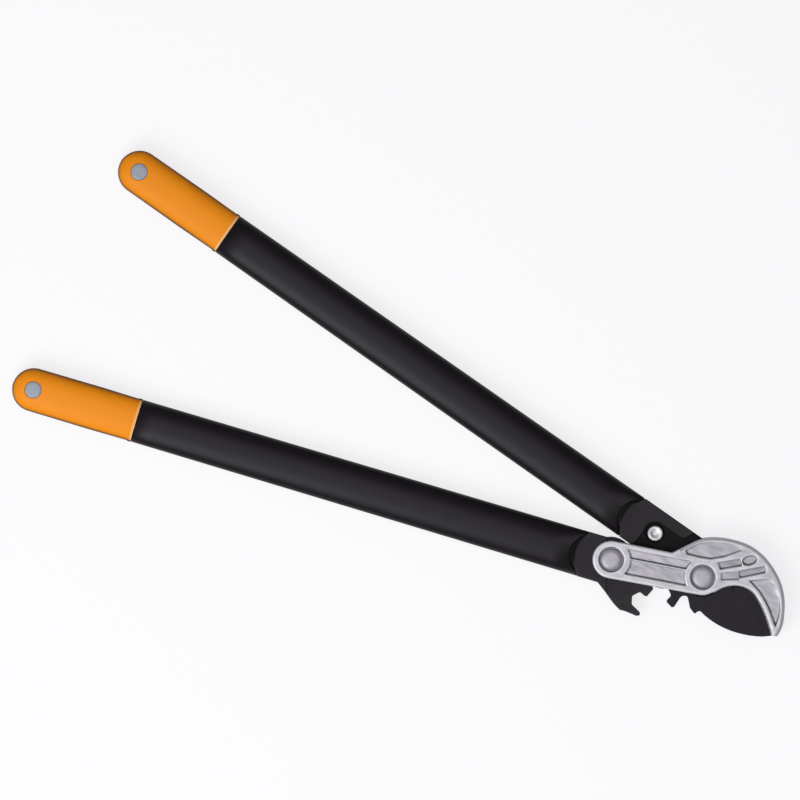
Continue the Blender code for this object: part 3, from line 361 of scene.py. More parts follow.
def turned_form(name, profile, steps=72):
    """A form turned round the Z axis from (radius, height) points, with its radius in millimetres
    stored at each point."""
    form = bmesh.new()
    stored = form.verts.layers.float.new("turned_radius")
    rows = []
    for radius, height in profile:
        count = steps if radius > 0 else 1
        row = []
        for i in range(count):
            angle = 2 * math.pi * i / steps
            point = form.verts.new((radius * math.cos(angle), radius * math.sin(angle), height))
            point[stored] = radius * 1000
            row.append(point)
        rows.append(row)
    for near, far in zip(rows, rows[1:]):
        for i in range(steps):
            j = (i + 1) % steps
            corners = [near[i % len(near)], near[j % len(near)], far[j % len(far)], far[i % len(far)]]
            form.faces.new(list(dict.fromkeys(corners)))
    bmesh.ops.recalc_face_normals(form, faces=form.faces)
    return add_form(name, form)


def oval(half_width, half_height, power, sides):
    """A superellipse as (across, up) points."""
    points = []
    for i in range(sides):
        c, s = math.cos(2 * math.pi * i / sides), math.sin(2 * math.pi * i / sides)
        points.append((half_width * math.copysign(abs(c) ** (2 / power), c),
                       half_height * math.copysign(abs(s) ** (2 / power), s)))
    return points


def lever_place(lever):
    """Where a lever's own frame lies at rest: its pivot and its handle's turn."""
    handles = bpy.context.scene.lopper_handles
    angle = handles.upper_angle if lever == "upper" else handles.lower_angle
    pivot = PIVOTS[lever + "_lever"]
    return Matrix.Translation((pivot.x, pivot.y, MID)) @ Matrix.Rotation(angle, 4, "Z")


def shoulder(lever):
    """(x, y) of the middle of a lever's shoulder, and the tube's length, in the lever's frame."""
    handles = bpy.context.scene.lopper_handles
    if lever == "upper":
        return -handles.upper_shoulder, handles.upper_offset, handles.upper_length
    return 0.0, handles.lower_offset, handles.lower_length


def grip_places(lever):
    """Where a lever's grip starts and where its rivet sits, along the lever, and how far across."""
    handles = bpy.context.scene.lopper_handles
    x, y, tube_length = shoulder(lever)
    joint = x - handles.shoulder_radius - tube_length
    return joint, joint - handles.grip_length + handles.grip_width / 2, y


# Geometry nodes

def new_geometry_tree(name, sockets):
    """A geometry tree with named inputs, and its input and output nodes."""
    tree = bpy.data.node_groups.new(name, "GeometryNodeTree")
    tree.interface.new_socket("Geometry", in_out="INPUT", socket_type="NodeSocketGeometry")
    for label, kind in sockets:
        tree.interface.new_socket(label, in_out="INPUT", socket_type=kind)
    tree.interface.new_socket("Geometry", in_out="OUTPUT", socket_type="NodeSocketGeometry")
    return tree, tree.nodes.new("NodeGroupInput").outputs, tree.nodes.new("NodeGroupOutput")


def end_tree(tree, given, made, geometry):
    """Ends a tree with the geometry made real and in the given material."""
    real = add_node(tree, "GeometryNodeRealizeInstances", {"Geometry": geometry})
    painted = add_node(tree, "GeometryNodeSetMaterial",
                       {"Geometry": real.outputs["Geometry"], "Material": given["Material"]})
    tree.links.new(painted.outputs["Geometry"], made.inputs["Geometry"])
    return tree


def run_tree(name, mesh, tree, values):
    """The object that a tree makes of a mesh, with the modifier made its mesh and removed."""
    piece = add_object(name, mesh)
    modifier = piece.modifiers.new(tree.name, "NODES")
    modifier.node_group = tree
    for item in tree.interface.items_tree:
        if item.in_out == "INPUT" and item.name in values:
            modifier[item.identifier] = values[item.name]
    settle(piece)
    if not piece.data.polygons:
        raise RuntimeError(f"the tree {tree.name} made nothing for {name}")
    return piece


def placed_forms_tree():
    """Sets one form at every point of the starting mesh."""
    tree, given, made = new_geometry_tree(
        "Placed Forms", [("Form", "NodeSocketObject"), ("Material", "NodeSocketMaterial")])
    form = add_node(tree, "GeometryNodeObjectInfo", {"Object": given["Form"]}, transform_space="ORIGINAL")
    points = add_node(tree, "GeometryNodeMeshToPoints", {"Mesh": given["Geometry"]})
    placed = add_node(tree, "GeometryNodeInstanceOnPoints",
                      {"Points": points.outputs["Points"], "Instance": form.outputs["Geometry"]})
    return end_tree(tree, given, made, placed.outputs["Instances"])


def placed_forms(name, form, places, material):
    """Copies of a form at places, as one mesh. The form itself is removed."""
    tree = bpy.data.node_groups.get("Placed Forms") or placed_forms_tree()
    points = bpy.data.meshes.new(name)
    points.from_pydata([tuple(place) for place in places], [], [])
    piece = run_tree(name, points, tree, {"Form": form, "Material": material})
    bpy.data.objects.remove(form, do_unlink=True)
    shade_smooth(piece.data, 35)
    return piece


# What the tube's tree reads from the handles' sizes, by the tree's own names.
TUBE_SIZES = ("Width", "Height", "Width at Grip", "Height at Grip", "Power", "Shoulder Radius",
              "Shoulder Slope", "Shoulder Height")


def oval_tube_tree():
    """The outer skin of an oval tube along -X, tapered, with a hollow round end that slopes back."""
    tree, given, made = new_geometry_tree(
        "Oval Tube", [(size, "NodeSocketFloat") for size in ("Length", *TUBE_SIZES)]
        + [("Sides", "NodeSocketInt"), ("Rows", "NodeSocketInt"), ("Material", "NodeSocketMaterial")])

    grid = add_node(tree, "GeometryNodeMeshGrid", {"Size X": 1.0, "Size Y": 1.0, "Vertices X": given["Sides"],
                                                   "Vertices Y": given["Rows"]})
    spot = add_node(tree, "ShaderNodeSeparateXYZ",
                    {0: add_node(tree, "GeometryNodeInputPosition").outputs[0]}).outputs
    # Each row is one sum: its name, what it does, and what it takes, where a name is an earlier row.
    sums = [
        ("angle", "MULTIPLY", spot["X"], -2 * math.pi), ("along", "ADD", spot["Y"], 0.5),
        ("bend", "DIVIDE", 2.0, given["Power"]), ("cosine", "COSINE", "angle"), ("sine", "SINE", "angle"),
    ]
    for way, wave, near, far in (("across", "cosine", "Width", "Width at Grip"),
                                 ("up", "sine", "Height", "Height at Grip")):
        sums += [
            (way + " side", "SIGN", wave), (way + " size", "ABSOLUTE", wave),
            (way + " power", "POWER", way + " size", "bend"),
            (way + " share", "MULTIPLY", way + " side", way + " power"),
            (way + " taper", "SUBTRACT", given[far], given[near]),
            (way + " whole", "MULTIPLY_ADD", way + " taper", "along", given[near]),
            (way + " half", "MULTIPLY", way + " whole", 0.5),
            (way, "MULTIPLY", way + " share", way + " half"),
        ]
    sums += [
        ("slopes", "SUBTRACT", given["Height"], given["Shoulder Height"]),
        ("rise", "MULTIPLY", "slopes", 0.5),
        ("pad", "MULTIPLY", given["Shoulder Height"], 0.5), ("height", "ABSOLUTE", "up"),
        ("above", "SUBTRACT", "height", "pad"), ("over", "MAXIMUM", "above", 0.0),
        ("steepness", "DIVIDE", "over", "rise"),
        ("radius", "MULTIPLY_ADD", "steepness", given["Shoulder Slope"], given["Shoulder Radius"]),
        ("radius squared", "MULTIPLY", "radius", "radius"),
        ("across squared", "MULTIPLY", "across", "across"),
        ("front squared", "SUBTRACT", "radius squared", "across squared"), ("front", "SQRT", "front squared"),
        ("back", "ADD", given["Shoulder Radius"], given["Length"]), ("span", "SUBTRACT", "back", "front"),
        ("behind", "MULTIPLY_ADD", "span", "along", "front"), ("place", "MULTIPLY", "behind", -1.0),
    ]
    worked = {}
    for name, operation, *terms in sums:
        terms = [worked[term] if isinstance(term, str) else term for term in terms]
        step = add_node(tree, "ShaderNodeMath", dict(enumerate(terms)), operation=operation)
        worked[name] = step.outputs[0]
    place = add_node(tree, "ShaderNodeCombineXYZ",
                     {"X": worked["place"], "Y": worked["across"], "Z": worked["up"]})
    bent = add_node(tree, "GeometryNodeSetPosition",
                    {"Geometry": grid.outputs["Mesh"], "Position": place.outputs[0]})
    closed = add_node(tree, "GeometryNodeMergeByDistance",
                      {"Geometry": bent.outputs["Geometry"], "Distance": 0.00001})
    smooth = add_node(tree, "GeometryNodeSetShadeSmooth", {"Geometry": closed.outputs["Geometry"]})
    return end_tree(tree, given, made, smooth.outputs["Geometry"])


# Materials

# The kinds of node in a material's rows: Blender's name, the output that other rows take, and settings.
KINDS = {
    "stretch": ("ShaderNodeMapping", "Vector", {}),
    "noise": ("ShaderNodeTexNoise", "Fac", {}),
    "range": ("ShaderNodeMapRange", 0, {}),
    "mix": ("ShaderNodeMix", 2, {"data_type": "RGBA"}),
    "times": ("ShaderNodeMath", 0, {"operation": "MULTIPLY"}),
    "larger": ("ShaderNodeMath", 0, {"operation": "MAXIMUM"}),
    "sine": ("ShaderNodeMath", 0, {"operation": "SINE"}),
    "bump": ("ShaderNodeBump", 0, {}),
}
# What a row can read besides earlier rows, among them the numbers that are stored on the meshes.
SOURCES = {
    "place": ("ShaderNodeTexCoord", "Object", {}),
    "camera ray": ("ShaderNodeLightPath", "Is Camera Ray", {}),
    "glossy ray": ("ShaderNodeLightPath", "Is Glossy Ray", {}),
    "transmission ray": ("ShaderNodeLightPath", "Is Transmission Ray", {}),
}
for stored_name in ("relief", "seat", "recess", "ground", "side", "lip", "turned_radius"):
    SOURCES[stored_name] = ("ShaderNodeAttribute", "Fac", {"attribute_name": stored_name})
# The sockets of a mix of colours: its share, and the colours that it goes from and to.
BY, FROM, TO = 0, 6, 7


def per_metre(*sizes):
    """The scale of a pattern whose size is given in millimetres, or one scale for each way."""
    scales = [1000 / size for size in sizes]
    return scales if len(sizes) > 1 else scales[0]


def shade(base, share=1.0):
    """A colour that is darker or lighter by a share."""
    return (*(min(1.0, c * share) for c in base), 1.0)


def between(row, base, low, high):
    """What a mix takes that goes from one share of a colour to another by an earlier row."""
    return {BY: row, FROM: shade(base, low), TO: shade(base, high)}


def new_material(name, values, rows):
    """A Principled material, from plain values for the shader's sockets and from rows of nodes. A row is
    a kind and its inputs, and a text among those is an earlier row or a source. A row that has the name
    of one of the shader's sockets goes to it."""
    material = bpy.data.materials.new(name)
    material.use_nodes = True
    tree = material.node_tree
    shader = tree.nodes["Principled BSDF"]
    for socket, value in values.items():
        shader.inputs[socket].default_value = value
    made = {}
    for row, (kind, inputs) in rows.items():
        taken = {}
        for socket, value in inputs.items():
            if isinstance(value, str) and value not in made:
                source, output, settings = SOURCES[value]
                made[value] = add_node(tree, source, **settings).outputs[output]
            taken[socket] = made[value] if isinstance(value, str) else value
        node, output, settings = KINDS[kind]
        made[row] = add_node(tree, node, taken, **settings).outputs[output]
        if row in shader.inputs:
            tree.links.new(made[row], shader.inputs[row])
    return material


def die_cast_aluminium(finishes):
    """Die-cast aluminium, tumbled: a pale satin skin, mottled where the stones rubbed it, bright on edges and
    ribs, and darker in the hollows: partly the matt grey skin that the stones don't reach, partly painted
    shade, strongest along their lower edges. The ring round each cap is painted in shade, as in the photo."""
    casting, hollow = finishes.casting, finishes.casting_hollow
    # Streaks 4 mm wide and 14 mm long where the stones rubbed more, and pits of 0.7 mm.
    return new_material("die cast aluminium, tumbled", {"Metallic": 0.55}, {
        "streaks": ("stretch", {"Vector": "place", "Scale": per_metre(14.3, 3.85, 3.85)}),
        "patches": ("noise", {"Vector": "streaks", "Scale": 1.0, "Detail": 3.0}),
        "pits": ("noise", {"Vector": "place", "Scale": per_metre(0.714)}),
        "rubbed": ("range", {"Value": "patches", "From Min": 0.32, "From Max": 0.68}),
        "hollow": ("range", {"Value": "relief", "From Min": -0.06, "From Max": -0.42}),
        "edge": ("range", {"Value": "relief", "From Min": 0.02, "From Max": 0.3}),
        "mottled": ("mix", between("rubbed", casting, 0.88, 1.22)),
        "bright": ("mix", {BY: "edge", FROM: "mottled", TO: shade(finishes.casting_edge)}),
        # Darker hollows: partly the matt skin that the stones miss, partly painted shade.
        "skin_and_shade": ("mix", {BY: "hollow", FROM: "bright", TO: shade(hollow)}),
        # Painted shade in the ring round each cap.
        "Base Color": ("mix", {BY: "seat", FROM: "skin_and_shade", TO: shade(hollow, 3.0)}),
        "Roughness": ("range", {"Value": "rubbed", "To Min": 0.6, "To Max": 0.5}),
        "Normal": ("bump", {"Height": "pits", "Strength": 0.18, "Distance": 0.00012}),
    })


def extruded_aluminium(finishes):
    """Extruded aluminium, cut to length: bright, with faint die lines along the strip."""
    # Die lines 0.5 mm apart up the strip's width, which stretch along it.
    return new_material("aluminium strip, extruded", {
        "Base Color": shade(finishes.anvil), "Metallic": 1.0,
    }, {
        "along": ("stretch", {"Vector": "place", "Scale": per_metre(16.7, 16.7, 0.5)}),
        "lines": ("noise", {"Vector": "along", "Scale": 1.0}),
        "Roughness": ("range", {"Value": "lines", "To Min": 0.3, "To Max": 0.5}),
        "Normal": ("bump", {"Height": "lines", "Strength": 0.2, "Distance": 0.00005}),
    })


def turned_steel(finishes):
    """Steel, turned and zinc plated: a soft shine with fine rings round the axis."""
    # Tool marks 0.45 mm apart, and clouds of 4 mm. Real marks are finer, but wouldn't show.
    return new_material("steel, turned and plated", {"Metallic": 0.5}, {
        "marks": ("times", {0: "turned_radius", 1: math.tau / 0.449}),
        "wave": ("sine", {0: "marks"}),
        "cloud": ("noise", {"Vector": "place", "Scale": per_metre(3.85), "Detail": 3.0}),
        "Base Color": ("mix", between("cloud", finishes.cap, 0.66, 1.34)),
        "Roughness": ("range", {"Value": "cloud", "From Min": 0.3, "From Max": 0.7, "To Min": 0.5,
                                "To Max": 0.62}),
        "Normal": ("bump", {"Height": "wave", "Strength": 0.15, "Distance": 0.00003}),
    })


def plated_steel(finishes):
    """Steel screws, washers and nut, zinc plated: bright, with faint clouds in the plating."""
    # Clouds of 2.4 mm.
    return new_material("steel, zinc plated", {"Metallic": 1.0}, {
        "cloud": ("noise", {"Vector": "place", "Scale": per_metre(2.38), "Detail": 3.0}),
        "Base Color": ("mix", between("cloud", finishes.plated, 0.88, 1.1)),
        "Roughness": ("range", {"Value": "cloud", "From Min": 0.3, "From Max": 0.7, "To Min": 0.5,
                                "To Max": 0.62}),
    })


def coated_blade(finishes):
    """Hardened steel, ground and non-stick coated: an even matt black with faint grinding lines. The bevel is
    painted paler, a painted light that cancels the shade its slope takes, because the photo shows no band
    there."""
    blade = finishes.blade
    # Grinding lines about 0.6 mm apart across the blade, and specks of 0.8 mm in the coating.
    return new_material("blade steel, non-stick coated", {"Metallic": 0.0, "Specular IOR Level": 0.15}, {
        "across": ("stretch", {"Vector": "place", "Scale": per_metre(0.625, 16.7, 16.7)}),
        "lines": ("noise", {"Vector": "across", "Scale": 1.0}),
        "specks": ("noise", {"Vector": "place", "Scale": per_metre(0.833)}),
        "coat": ("mix", between("specks", blade, 0.8, 1.2)),
        # Painted light on the bevel, against the shade its slope takes.
        "Base Color": ("mix", {BY: "ground", FROM: "coat", TO: shade(blade, 1.45)}),
        "Roughness": ("range", {"Value": "lines", "To Min": 0.44, "To Max": 0.6}),
        "Normal": ("bump", {"Height": "lines", "Strength": 0.12, "Distance": 0.00004}),
    })


def filled_nylon(finishes):
    """Glass-filled nylon, moulded: dark grey and matt, with a fine sandy skin, and paler edges, partly from
    wear and partly a painted highlight. The low places are painted in shade, as in the photo."""
    head = finishes.head
    # A skin of 0.6 mm grain, and flow marks of 6 mm.
    return new_material("glass filled nylon, moulded", {"Metallic": 0.0, "Specular IOR Level": 0.15}, {
        "grain": ("noise", {"Vector": "place", "Scale": per_metre(0.588)}),
        "flow": ("noise", {"Vector": "place", "Scale": per_metre(6.25)}),
        "edge": ("range", {"Value": "relief", "From Min": 0.08, "From Max": 0.5, "To Max": 0.8}),
        "marked": ("mix", between("flow", head, 0.86, 1.14)),
        # Paler edges, partly from wear and partly a painted highlight.
        "wear_and_highlight": ("mix", {BY: "edge", FROM: "marked", TO: shade(head, 1.7)}),
        "Base Color": ("mix", {BY: "recess", FROM: "wear_and_highlight", TO: shade(head, 0.12)}),
        "Roughness": ("range", {"Value": "flow", "To Min": 0.62, "To Max": 0.76}),
        "Normal": ("bump", {"Height": "grain", "Strength": 0.2, "Distance": 0.00008}),
    })


def powder_coat(finishes):
    """Aluminium tube, powder coated: near-black satin with a faint orange-peel skin."""
    # Orange peel of 1.5 mm, the spacing that a thick powder coat has, and clouds of 17 mm.
    return new_material("aluminium tube, powder coated", {"Metallic": 0.0, "Specular IOR Level": 0.18}, {
        "peel": ("noise", {"Vector": "place", "Scale": per_metre(1.54)}),
        "cloud": ("noise", {"Vector": "place", "Scale": per_metre(16.7)}),
        "Base Color": ("mix", between("cloud", finishes.tube, 0.88, 1.12)),
        "Roughness": ("range", {"Value": "peel", "To Min": 0.36, "To Max": 0.46}),
        "Normal": ("bump", {"Height": "peel", "Strength": 0.12, "Distance": 0.00006}),
    })


def moulded_grip(finishes):
    """Polypropylene, moulded: strong orange, softly satin, with a spark-eroded grain for hold, and painted
    shade down its sides and a painted highlight at its lip, as in the photo."""
    grip = finishes.grip
    # Grain of 0.9 mm, and clouds of 20 mm. Real grain is about 0.3 mm, which wouldn't show.
    return new_material("polypropylene grip, moulded", {"Metallic": 0.0, "Specular IOR Level": 0.25}, {
        "grain": ("noise", {"Vector": "place", "Scale": per_metre(0.909)}),
        "cloud": ("noise", {"Vector": "place", "Scale": per_metre(20)}),
        "dyed": ("mix", between("cloud", grip, 0.97, 1.03)),
        # Painted shade down the sides, and a painted highlight on the lip.
        "side_shade": ("mix", {BY: "side", FROM: "dyed", TO: shade(grip, 0.14)}),
        "Base Color": ("mix", {BY: "lip", FROM: "side_shade", TO: shade(finishes.grip_lip_highlight)}),
        "Roughness": ("range", {"Value": "grain", "To Min": 0.5, "To Max": 0.64}),
        "Normal": ("bump", {"Height": "grain", "Strength": 0.15, "Distance": 0.00006}),
    })


def moulded_rivet(finishes):
    """Acetal, moulded: a smooth blue-grey disc with faint rings from its mould."""
    # Rings 0.7 mm apart, and clouds of 4 mm.
    return new_material("acetal rivet, moulded", {"Metallic": 0.0, "Roughness": 0.42}, {
        "rings": ("times", {0: "turned_radius", 1: math.tau / 0.698}),
        "wave": ("sine", {0: "rings"}),
        "cloud": ("noise", {"Vector": "place", "Scale": per_metre(4.17)}),
        "Base Color": ("mix", between("cloud", finishes.rivet, 0.9, 1.1)),
        "Normal": ("bump", {"Height": "wave", "Strength": 0.1, "Distance": 0.00003}),
    })


def sintered_bronze(finishes):
    """Sintered bronze bushes: brown gold, with a fine open grain that holds oil."""
    # Grain of 0.45 mm. Real grain is finer, but wouldn't show.
    return new_material("bronze bush, sintered", {"Metallic": 1.0, "Roughness": 0.5}, {
        "grain": ("noise", {"Vector": "place", "Scale": per_metre(0.455)}),
        "Base Color": ("mix", between("grain", finishes.bush, 0.75, 1.2)),
    })


# Operators

class LOPPER_OT_casting(bpy.types.Operator):
    """Two halves of the cast anvil head: link arm and ribbed hook"""

    bl_idname = "lopper.casting"
    bl_label = "Cast Anvil Head"

    def execute(self, context):
        edges = context.scene.lopper_edges
        material = die_cast_aluminium(context.scene.lopper_finishes)
        for side in ("front", "rear"):
            # The casting gets painted shade along the lower edges of its hollows.
            piece = rubbed_copy(f"cast_{side}_half", [side + "_cheek"], edges.casting_grain,
                                edges.casting_rounds, keep=0.45, painted_lower_shade=True)
            store_seats(piece.data, radius=0.0112)
            dress(piece, material, "anvil_head", "casting", side + "_cheek")
        return {"FINISHED"}


class LOPPER_OT_anvil(bpy.types.Operator):
    """The curved strip that the blade closes on"""

    bl_idname = "lopper.anvil"
    bl_label = "Anvil Strip"

    def execute(self, context):
        piece = rounded_copy("anvil_strip", ["anvil"], context.scene.lopper_edges.small_edge)
        material = extruded_aluminium(context.scene.lopper_finishes)
        dress(piece, material, "anvil_head", "anvil_metal", "anvil")
        return {"FINISHED"}


class LOPPER_OT_axles(bpy.types.Operator):
    """The two capped axles, and the capped screws that close them from behind"""

    bl_idname = "lopper.axles"
    bl_label = "Pivot Axles"

    def execute(self, context):
        material = turned_steel(context.scene.lopper_finishes)
        places = [(pivot.x, pivot.y, 0.0) for pivot in PIVOTS.values()]
        low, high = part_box("main_axle")
        cap = high.x - PIVOTS["upper_lever"].x
        top, foot = high.z, low.z
        thick, pin, bore, depth, bevel = 0.0029, 0.006, 0.0035, 0.012, 0.0004
        # The cap's form: shares of its radius, and how far below the top each lies.
        dome = [(0.0, 0.00005), (0.58, 0.00008), (0.64, 0.00014), (0.7, 0.0003), (0.78, 0.00056),
                (0.86, 0.0009), (0.9, 0.00112), (0.94, 0.00142), (0.97, 0.00178), (1.0, thick)]
        profile = [(cap * share, top - drop) for share, drop in dome]
        profile += [(pin, top - thick), (pin, foot + bevel), (pin - bevel, foot), (bore, foot),
                    (bore, foot + depth), (0.0, foot + depth)]
        piece = placed_forms("pivot_axles", turned_form("axle_form", profile), places, material)
        dress(piece, material, "anvil_head", "axle_steel", "main_axle", "link_axle")

        low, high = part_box("main_axle_screw")
        top, foot = high.z, low.z
        post, tip, rim = 0.0032, 0.0005, 0.0003
        profile = [(0.0, top), (post - tip, top), (post, top - tip), (post, foot + thick),
                   (cap, foot + thick), (cap, foot + 3 * rim), (cap - rim, foot + rim),
                   (cap - 3 * rim, foot), (0.0, foot)]
        form = turned_form("axle_screw_form", profile)
        # Two holes for a pin spanner.
        reach, radius, deep, clear = 0.0056, 0.0012, 0.0016, 0.001
        hole = [(0.0, deep), (radius, deep), (radius, -clear), (0.0, -clear)]
        holes = [turned_form("spanner_hole", hole, steps=24) for _ in range(2)]
        holes[0].location.x = -reach
        holes[1].location.x = reach
        cut_out(form, holes)
        piece = placed_forms("pivot_axle_screws", form, places, material)
        dress(piece, material, "anvil_head", "axle_steel", "main_axle_screw", "link_axle_screw")
        return {"FINISHED"}


class LOPPER_OT_small_parts(bpy.types.Operator):
    """Thrust washers, bushes, hook screws and the blade's bolt and nut"""

    bl_idname = "lopper.small_parts"
    bl_label = "Washers, Bushes and Screws"

    def execute(self, context):
        edge = context.scene.lopper_edges.small_edge
        plated = plated_steel(context.scene.lopper_finishes)
        bronze = sintered_bronze(context.scene.lopper_finishes)
        washers = ["main_washer_front", "main_washer_rear", "link_washer_front", "link_washer_rear"]
        screws = ["hook_screw_inner", "hook_screw_outer"]
        groups = [
            ("thrust_washers", washers, plated, "anvil_head", "steel"),
            ("hook_screws", screws, plated, "anvil_head", "steel"),
            ("blade_bolt_head", ["blade_bolt"], plated, "upper_lever", "steel"),
            ("blade_nut", ["blade_bolt_nut"], plated, "upper_lever", "steel"),
            ("main_pivot_bush", ["main_bush"], bronze, "upper_lever", "bush"),
            ("link_pivot_bush", ["link_bush"], bronze, "lower_lever", "bush"),
        ]
        for name, nodes, material, body, slot in groups:
            dress(rounded_copy(name, nodes, edge), material, body, slot, *nodes)
        return {"FINISHED"}


class LOPPER_OT_blade(bpy.types.Operator):
    """The blade with its gear teeth"""

    bl_idname = "lopper.blade"
    bl_label = "Blade"

    def execute(self, context):
        piece = rounded_copy("cutting_blade", ["blade"], context.scene.lopper_edges.blade_edge, sharp=8)
        # The bevel slopes. The flats lie level, and the edge all round stands upright.
        steep, level = 0.5, 0.998
        slopes = [float(steep < abs(face.normal.z) < level) for face in piece.data.polygons]
        # The bevel's faces get painted light, which evens out their shade.
        store(piece.data, "ground", slopes, "FACE")
        dress(piece, coated_blade(context.scene.lopper_finishes), "upper_lever", "blade_steel", "blade")
        return {"FINISHED"}


class LOPPER_OT_heads(bpy.types.Operator):
    """The moulded heads of the two levers"""

    bl_idname = "lopper.heads"
    bl_label = "Lever Heads"

    def execute(self, context):
        edges = context.scene.lopper_edges
        material = filled_nylon(context.scene.lopper_finishes)
        for lever in LEVERS:
            piece = rubbed_copy(f"{lever}_lever_head", [lever + "_head"], edges.head_grain,
                                edges.head_rounds, keep=0.4)
            store_recess(piece.data, lever)
            dress(piece, material, lever + "_lever", "head_plastic", lever + "_head")
        return {"FINISHED"}


class LOPPER_OT_tubes(bpy.types.Operator):
    """The two oval handle tubes"""

    bl_idname = "lopper.tubes"
    bl_label = "Handle Tubes"

    def execute(self, context):
        handles = context.scene.lopper_handles
        material = powder_coat(context.scene.lopper_finishes)
        tree = oval_tube_tree()
        sizes = {size: getattr(handles, size.lower().replace(" ", "_")) for size in TUBE_SIZES}
        for lever in LEVERS:
            x, y, tube_length = shoulder(lever)
            name = lever + "_oval_tube"
            piece = run_tree(name, bpy.data.meshes.new(name), tree, {
                **sizes, "Length": tube_length, "Sides": 145, "Rows": 24, "Material": material})
            add_step(piece, "SOLIDIFY", thickness=handles.wall, offset=-1.0)
            settle(piece)
            add_step(piece, "BEVEL", width=context.scene.lopper_edges.tube_rim, segments=2,
                     harden_normals=True, **SHARP_EDGES)
            mesh = settle(piece)
            shade_smooth(mesh, 40)
            mesh.transform(lever_place(lever) @ Matrix.Translation((x, y, 0.0)))
            dress(piece, material, lever + "_lever", "tube", lever + "_tube")
        return {"FINISHED"}


class LOPPER_OT_grips(bpy.types.Operator):
    """The orange grips on the ends of the tubes"""

    bl_idname = "lopper.grips"
    bl_label = "End Grips"

    def execute(self, context):
        handles = context.scene.lopper_handles
        material = moulded_grip(context.scene.lopper_finishes)
        for lever in LEVERS:
            joint, rivet_at, y = grip_places(lever)
            piece = self.form(lever + "_end_grip", joint, rivet_at, handles)
            piece.data.transform(lever_place(lever) @ Matrix.Translation((0.0, y, 0.0)))
            dress(piece, material, lever + "_lever", "grip", lever + "_grip")
        return {"FINISHED"}

    def form(self, name, joint, rivet_at, handles):
        """One grip along -X from the joint, hollow, with the rivet's seats."""
        mouth = joint - 0.0003
        piece = skin(name, self.outside(mouth, rivet_at, handles))
        mesh = cut_out(piece, self.hollows(joint, rivet_at, handles))
        # Where painted shade and a painted highlight go on the grip.
        self.store_painted_light(mesh, mouth, rivet_at, handles.grip_width / 2)
        shade_smooth(mesh, 30)
        return piece

    def outside(self, mouth, rivet_at, handles):
        """Rings of points round a grip, from its mouth to its end."""
        wide, tall = handles.width_at_grip / 2, handles.height_at_grip / 2
        half, high = handles.grip_width / 2, handles.grip_height / 2
        # The lip, in millimetres: how far back from the mouth, how far out past the tube's sides and past
        # its broad faces, and the share of the grip's own roundness.
        lip = [(0.0, -0.4, -0.4, 0.0), (0.1, 0.1, 0.1, 0.0), (0.5, 0.35, 0.35, 0.0),
               (2.6, 0.42, 0.7, 0.0), (3.0, 0.4, 0.7, 0.2), (3.4, 0.0, 0.6, 0.4)]
        stations = [(mouth - back / 1000, wide + side / 1000, tall + face / 1000, share)
                    for back, side, face, share in lip]
        # Behind the lip the grip swells to its full height.
        start, swell, narrower, step_up, steps = mouth - 0.004, 0.036, 0.0003, 0.0007, 14
        for i in range(steps + 1):
            share = i / steps
            ease = share * share * (3 - 2 * share)
            stations.append((start - swell * share, half - narrower * (1 - ease),
                             tall + step_up + (high - tall - step_up) * ease, 0.5 + 0.5 * share))
        # From the rivet on it is round as seen from the front, and gets lower to its tip. It stays a hair
        # inside the CAD grip.
        end_half, end_high, tip_share, steps = half - 0.00025, high - 0.00002, 0.35, 25
        stations.append((rivet_at, end_half, end_high, 1.0))
        for i in range(1, steps):
            angle = math.radians(90 * i / steps)
            across = math.cos(angle)
            stations.append((rivet_at - (half - narrower) * math.sin(angle), end_half * across,
                             end_high * (tip_share + (1 - tip_share) * across), 1.0))
        rings = []
        for along, half_width, half_height, share in stations:
            power = handles.power + (handles.grip_power - handles.power) * share
            rings.append([(along, a, b) for a, b in oval(half_width, half_height, power, 112)])
        return rings

    def hollows(self, joint, rivet_at, handles):
        """What is cut out of a grip: the cavity for the tube's neck, and the rivet's seats and hole."""
        neck_wide = handles.width_at_grip / 2 - handles.grip_wall - 0.0017
        neck_tall = handles.height_at_grip / 2 - handles.grip_wall + 0.0003
        neck_end = rivet_at - handles.rivet_radius - 0.003
        taper, past_mouth = 0.003, 0.005
        cavity = [[(along, a, b) for a, b in oval(neck_wide - less, neck_tall, handles.power, 64)]
                  for along, less in ((joint + past_mouth, 0.0), (joint, 0.0), (neck_end, taper))]
        seat, shank, out = handles.rivet_radius + 0.0003, 0.0035, 0.02
        floor = handles.grip_height / 2 - 0.00222
        cutter = turned_form("rivet_seat", [(0.0, out), (seat, out), (seat, floor), (shank, floor),
                                            (shank, -floor), (seat, -floor), (seat, -out), (0.0, -out)])
        cutter.location.x = rivet_at
        return [skin("grip_cavity", cavity), cutter]

    def store_painted_light(self, mesh, mouth, rivet_at, half):
        """Stores shares for the painted light: side, for painted shade from 0 on the broad faces to 1 down
        the sides, and lip, for a painted highlight on the lip at the mouth."""
        side_from, side_over = 0.82, 0.14
        lip_share, lip_length, lip_to = 0.6, 0.0006, 0.93
        sides, lips = [], []
        for vertex in mesh.vertices:
            past_rivet = max(0.0, rivet_at - vertex.co.x)
            out = math.hypot(past_rivet, vertex.co.y) / half
            sides.append(share_of((out - side_from) / side_over) ** 2)
            lips.append(lip_share if vertex.co.x > mouth - lip_length and out < lip_to else 0.0)
        store(mesh, "side", sides)
        store(mesh, "lip", lips)


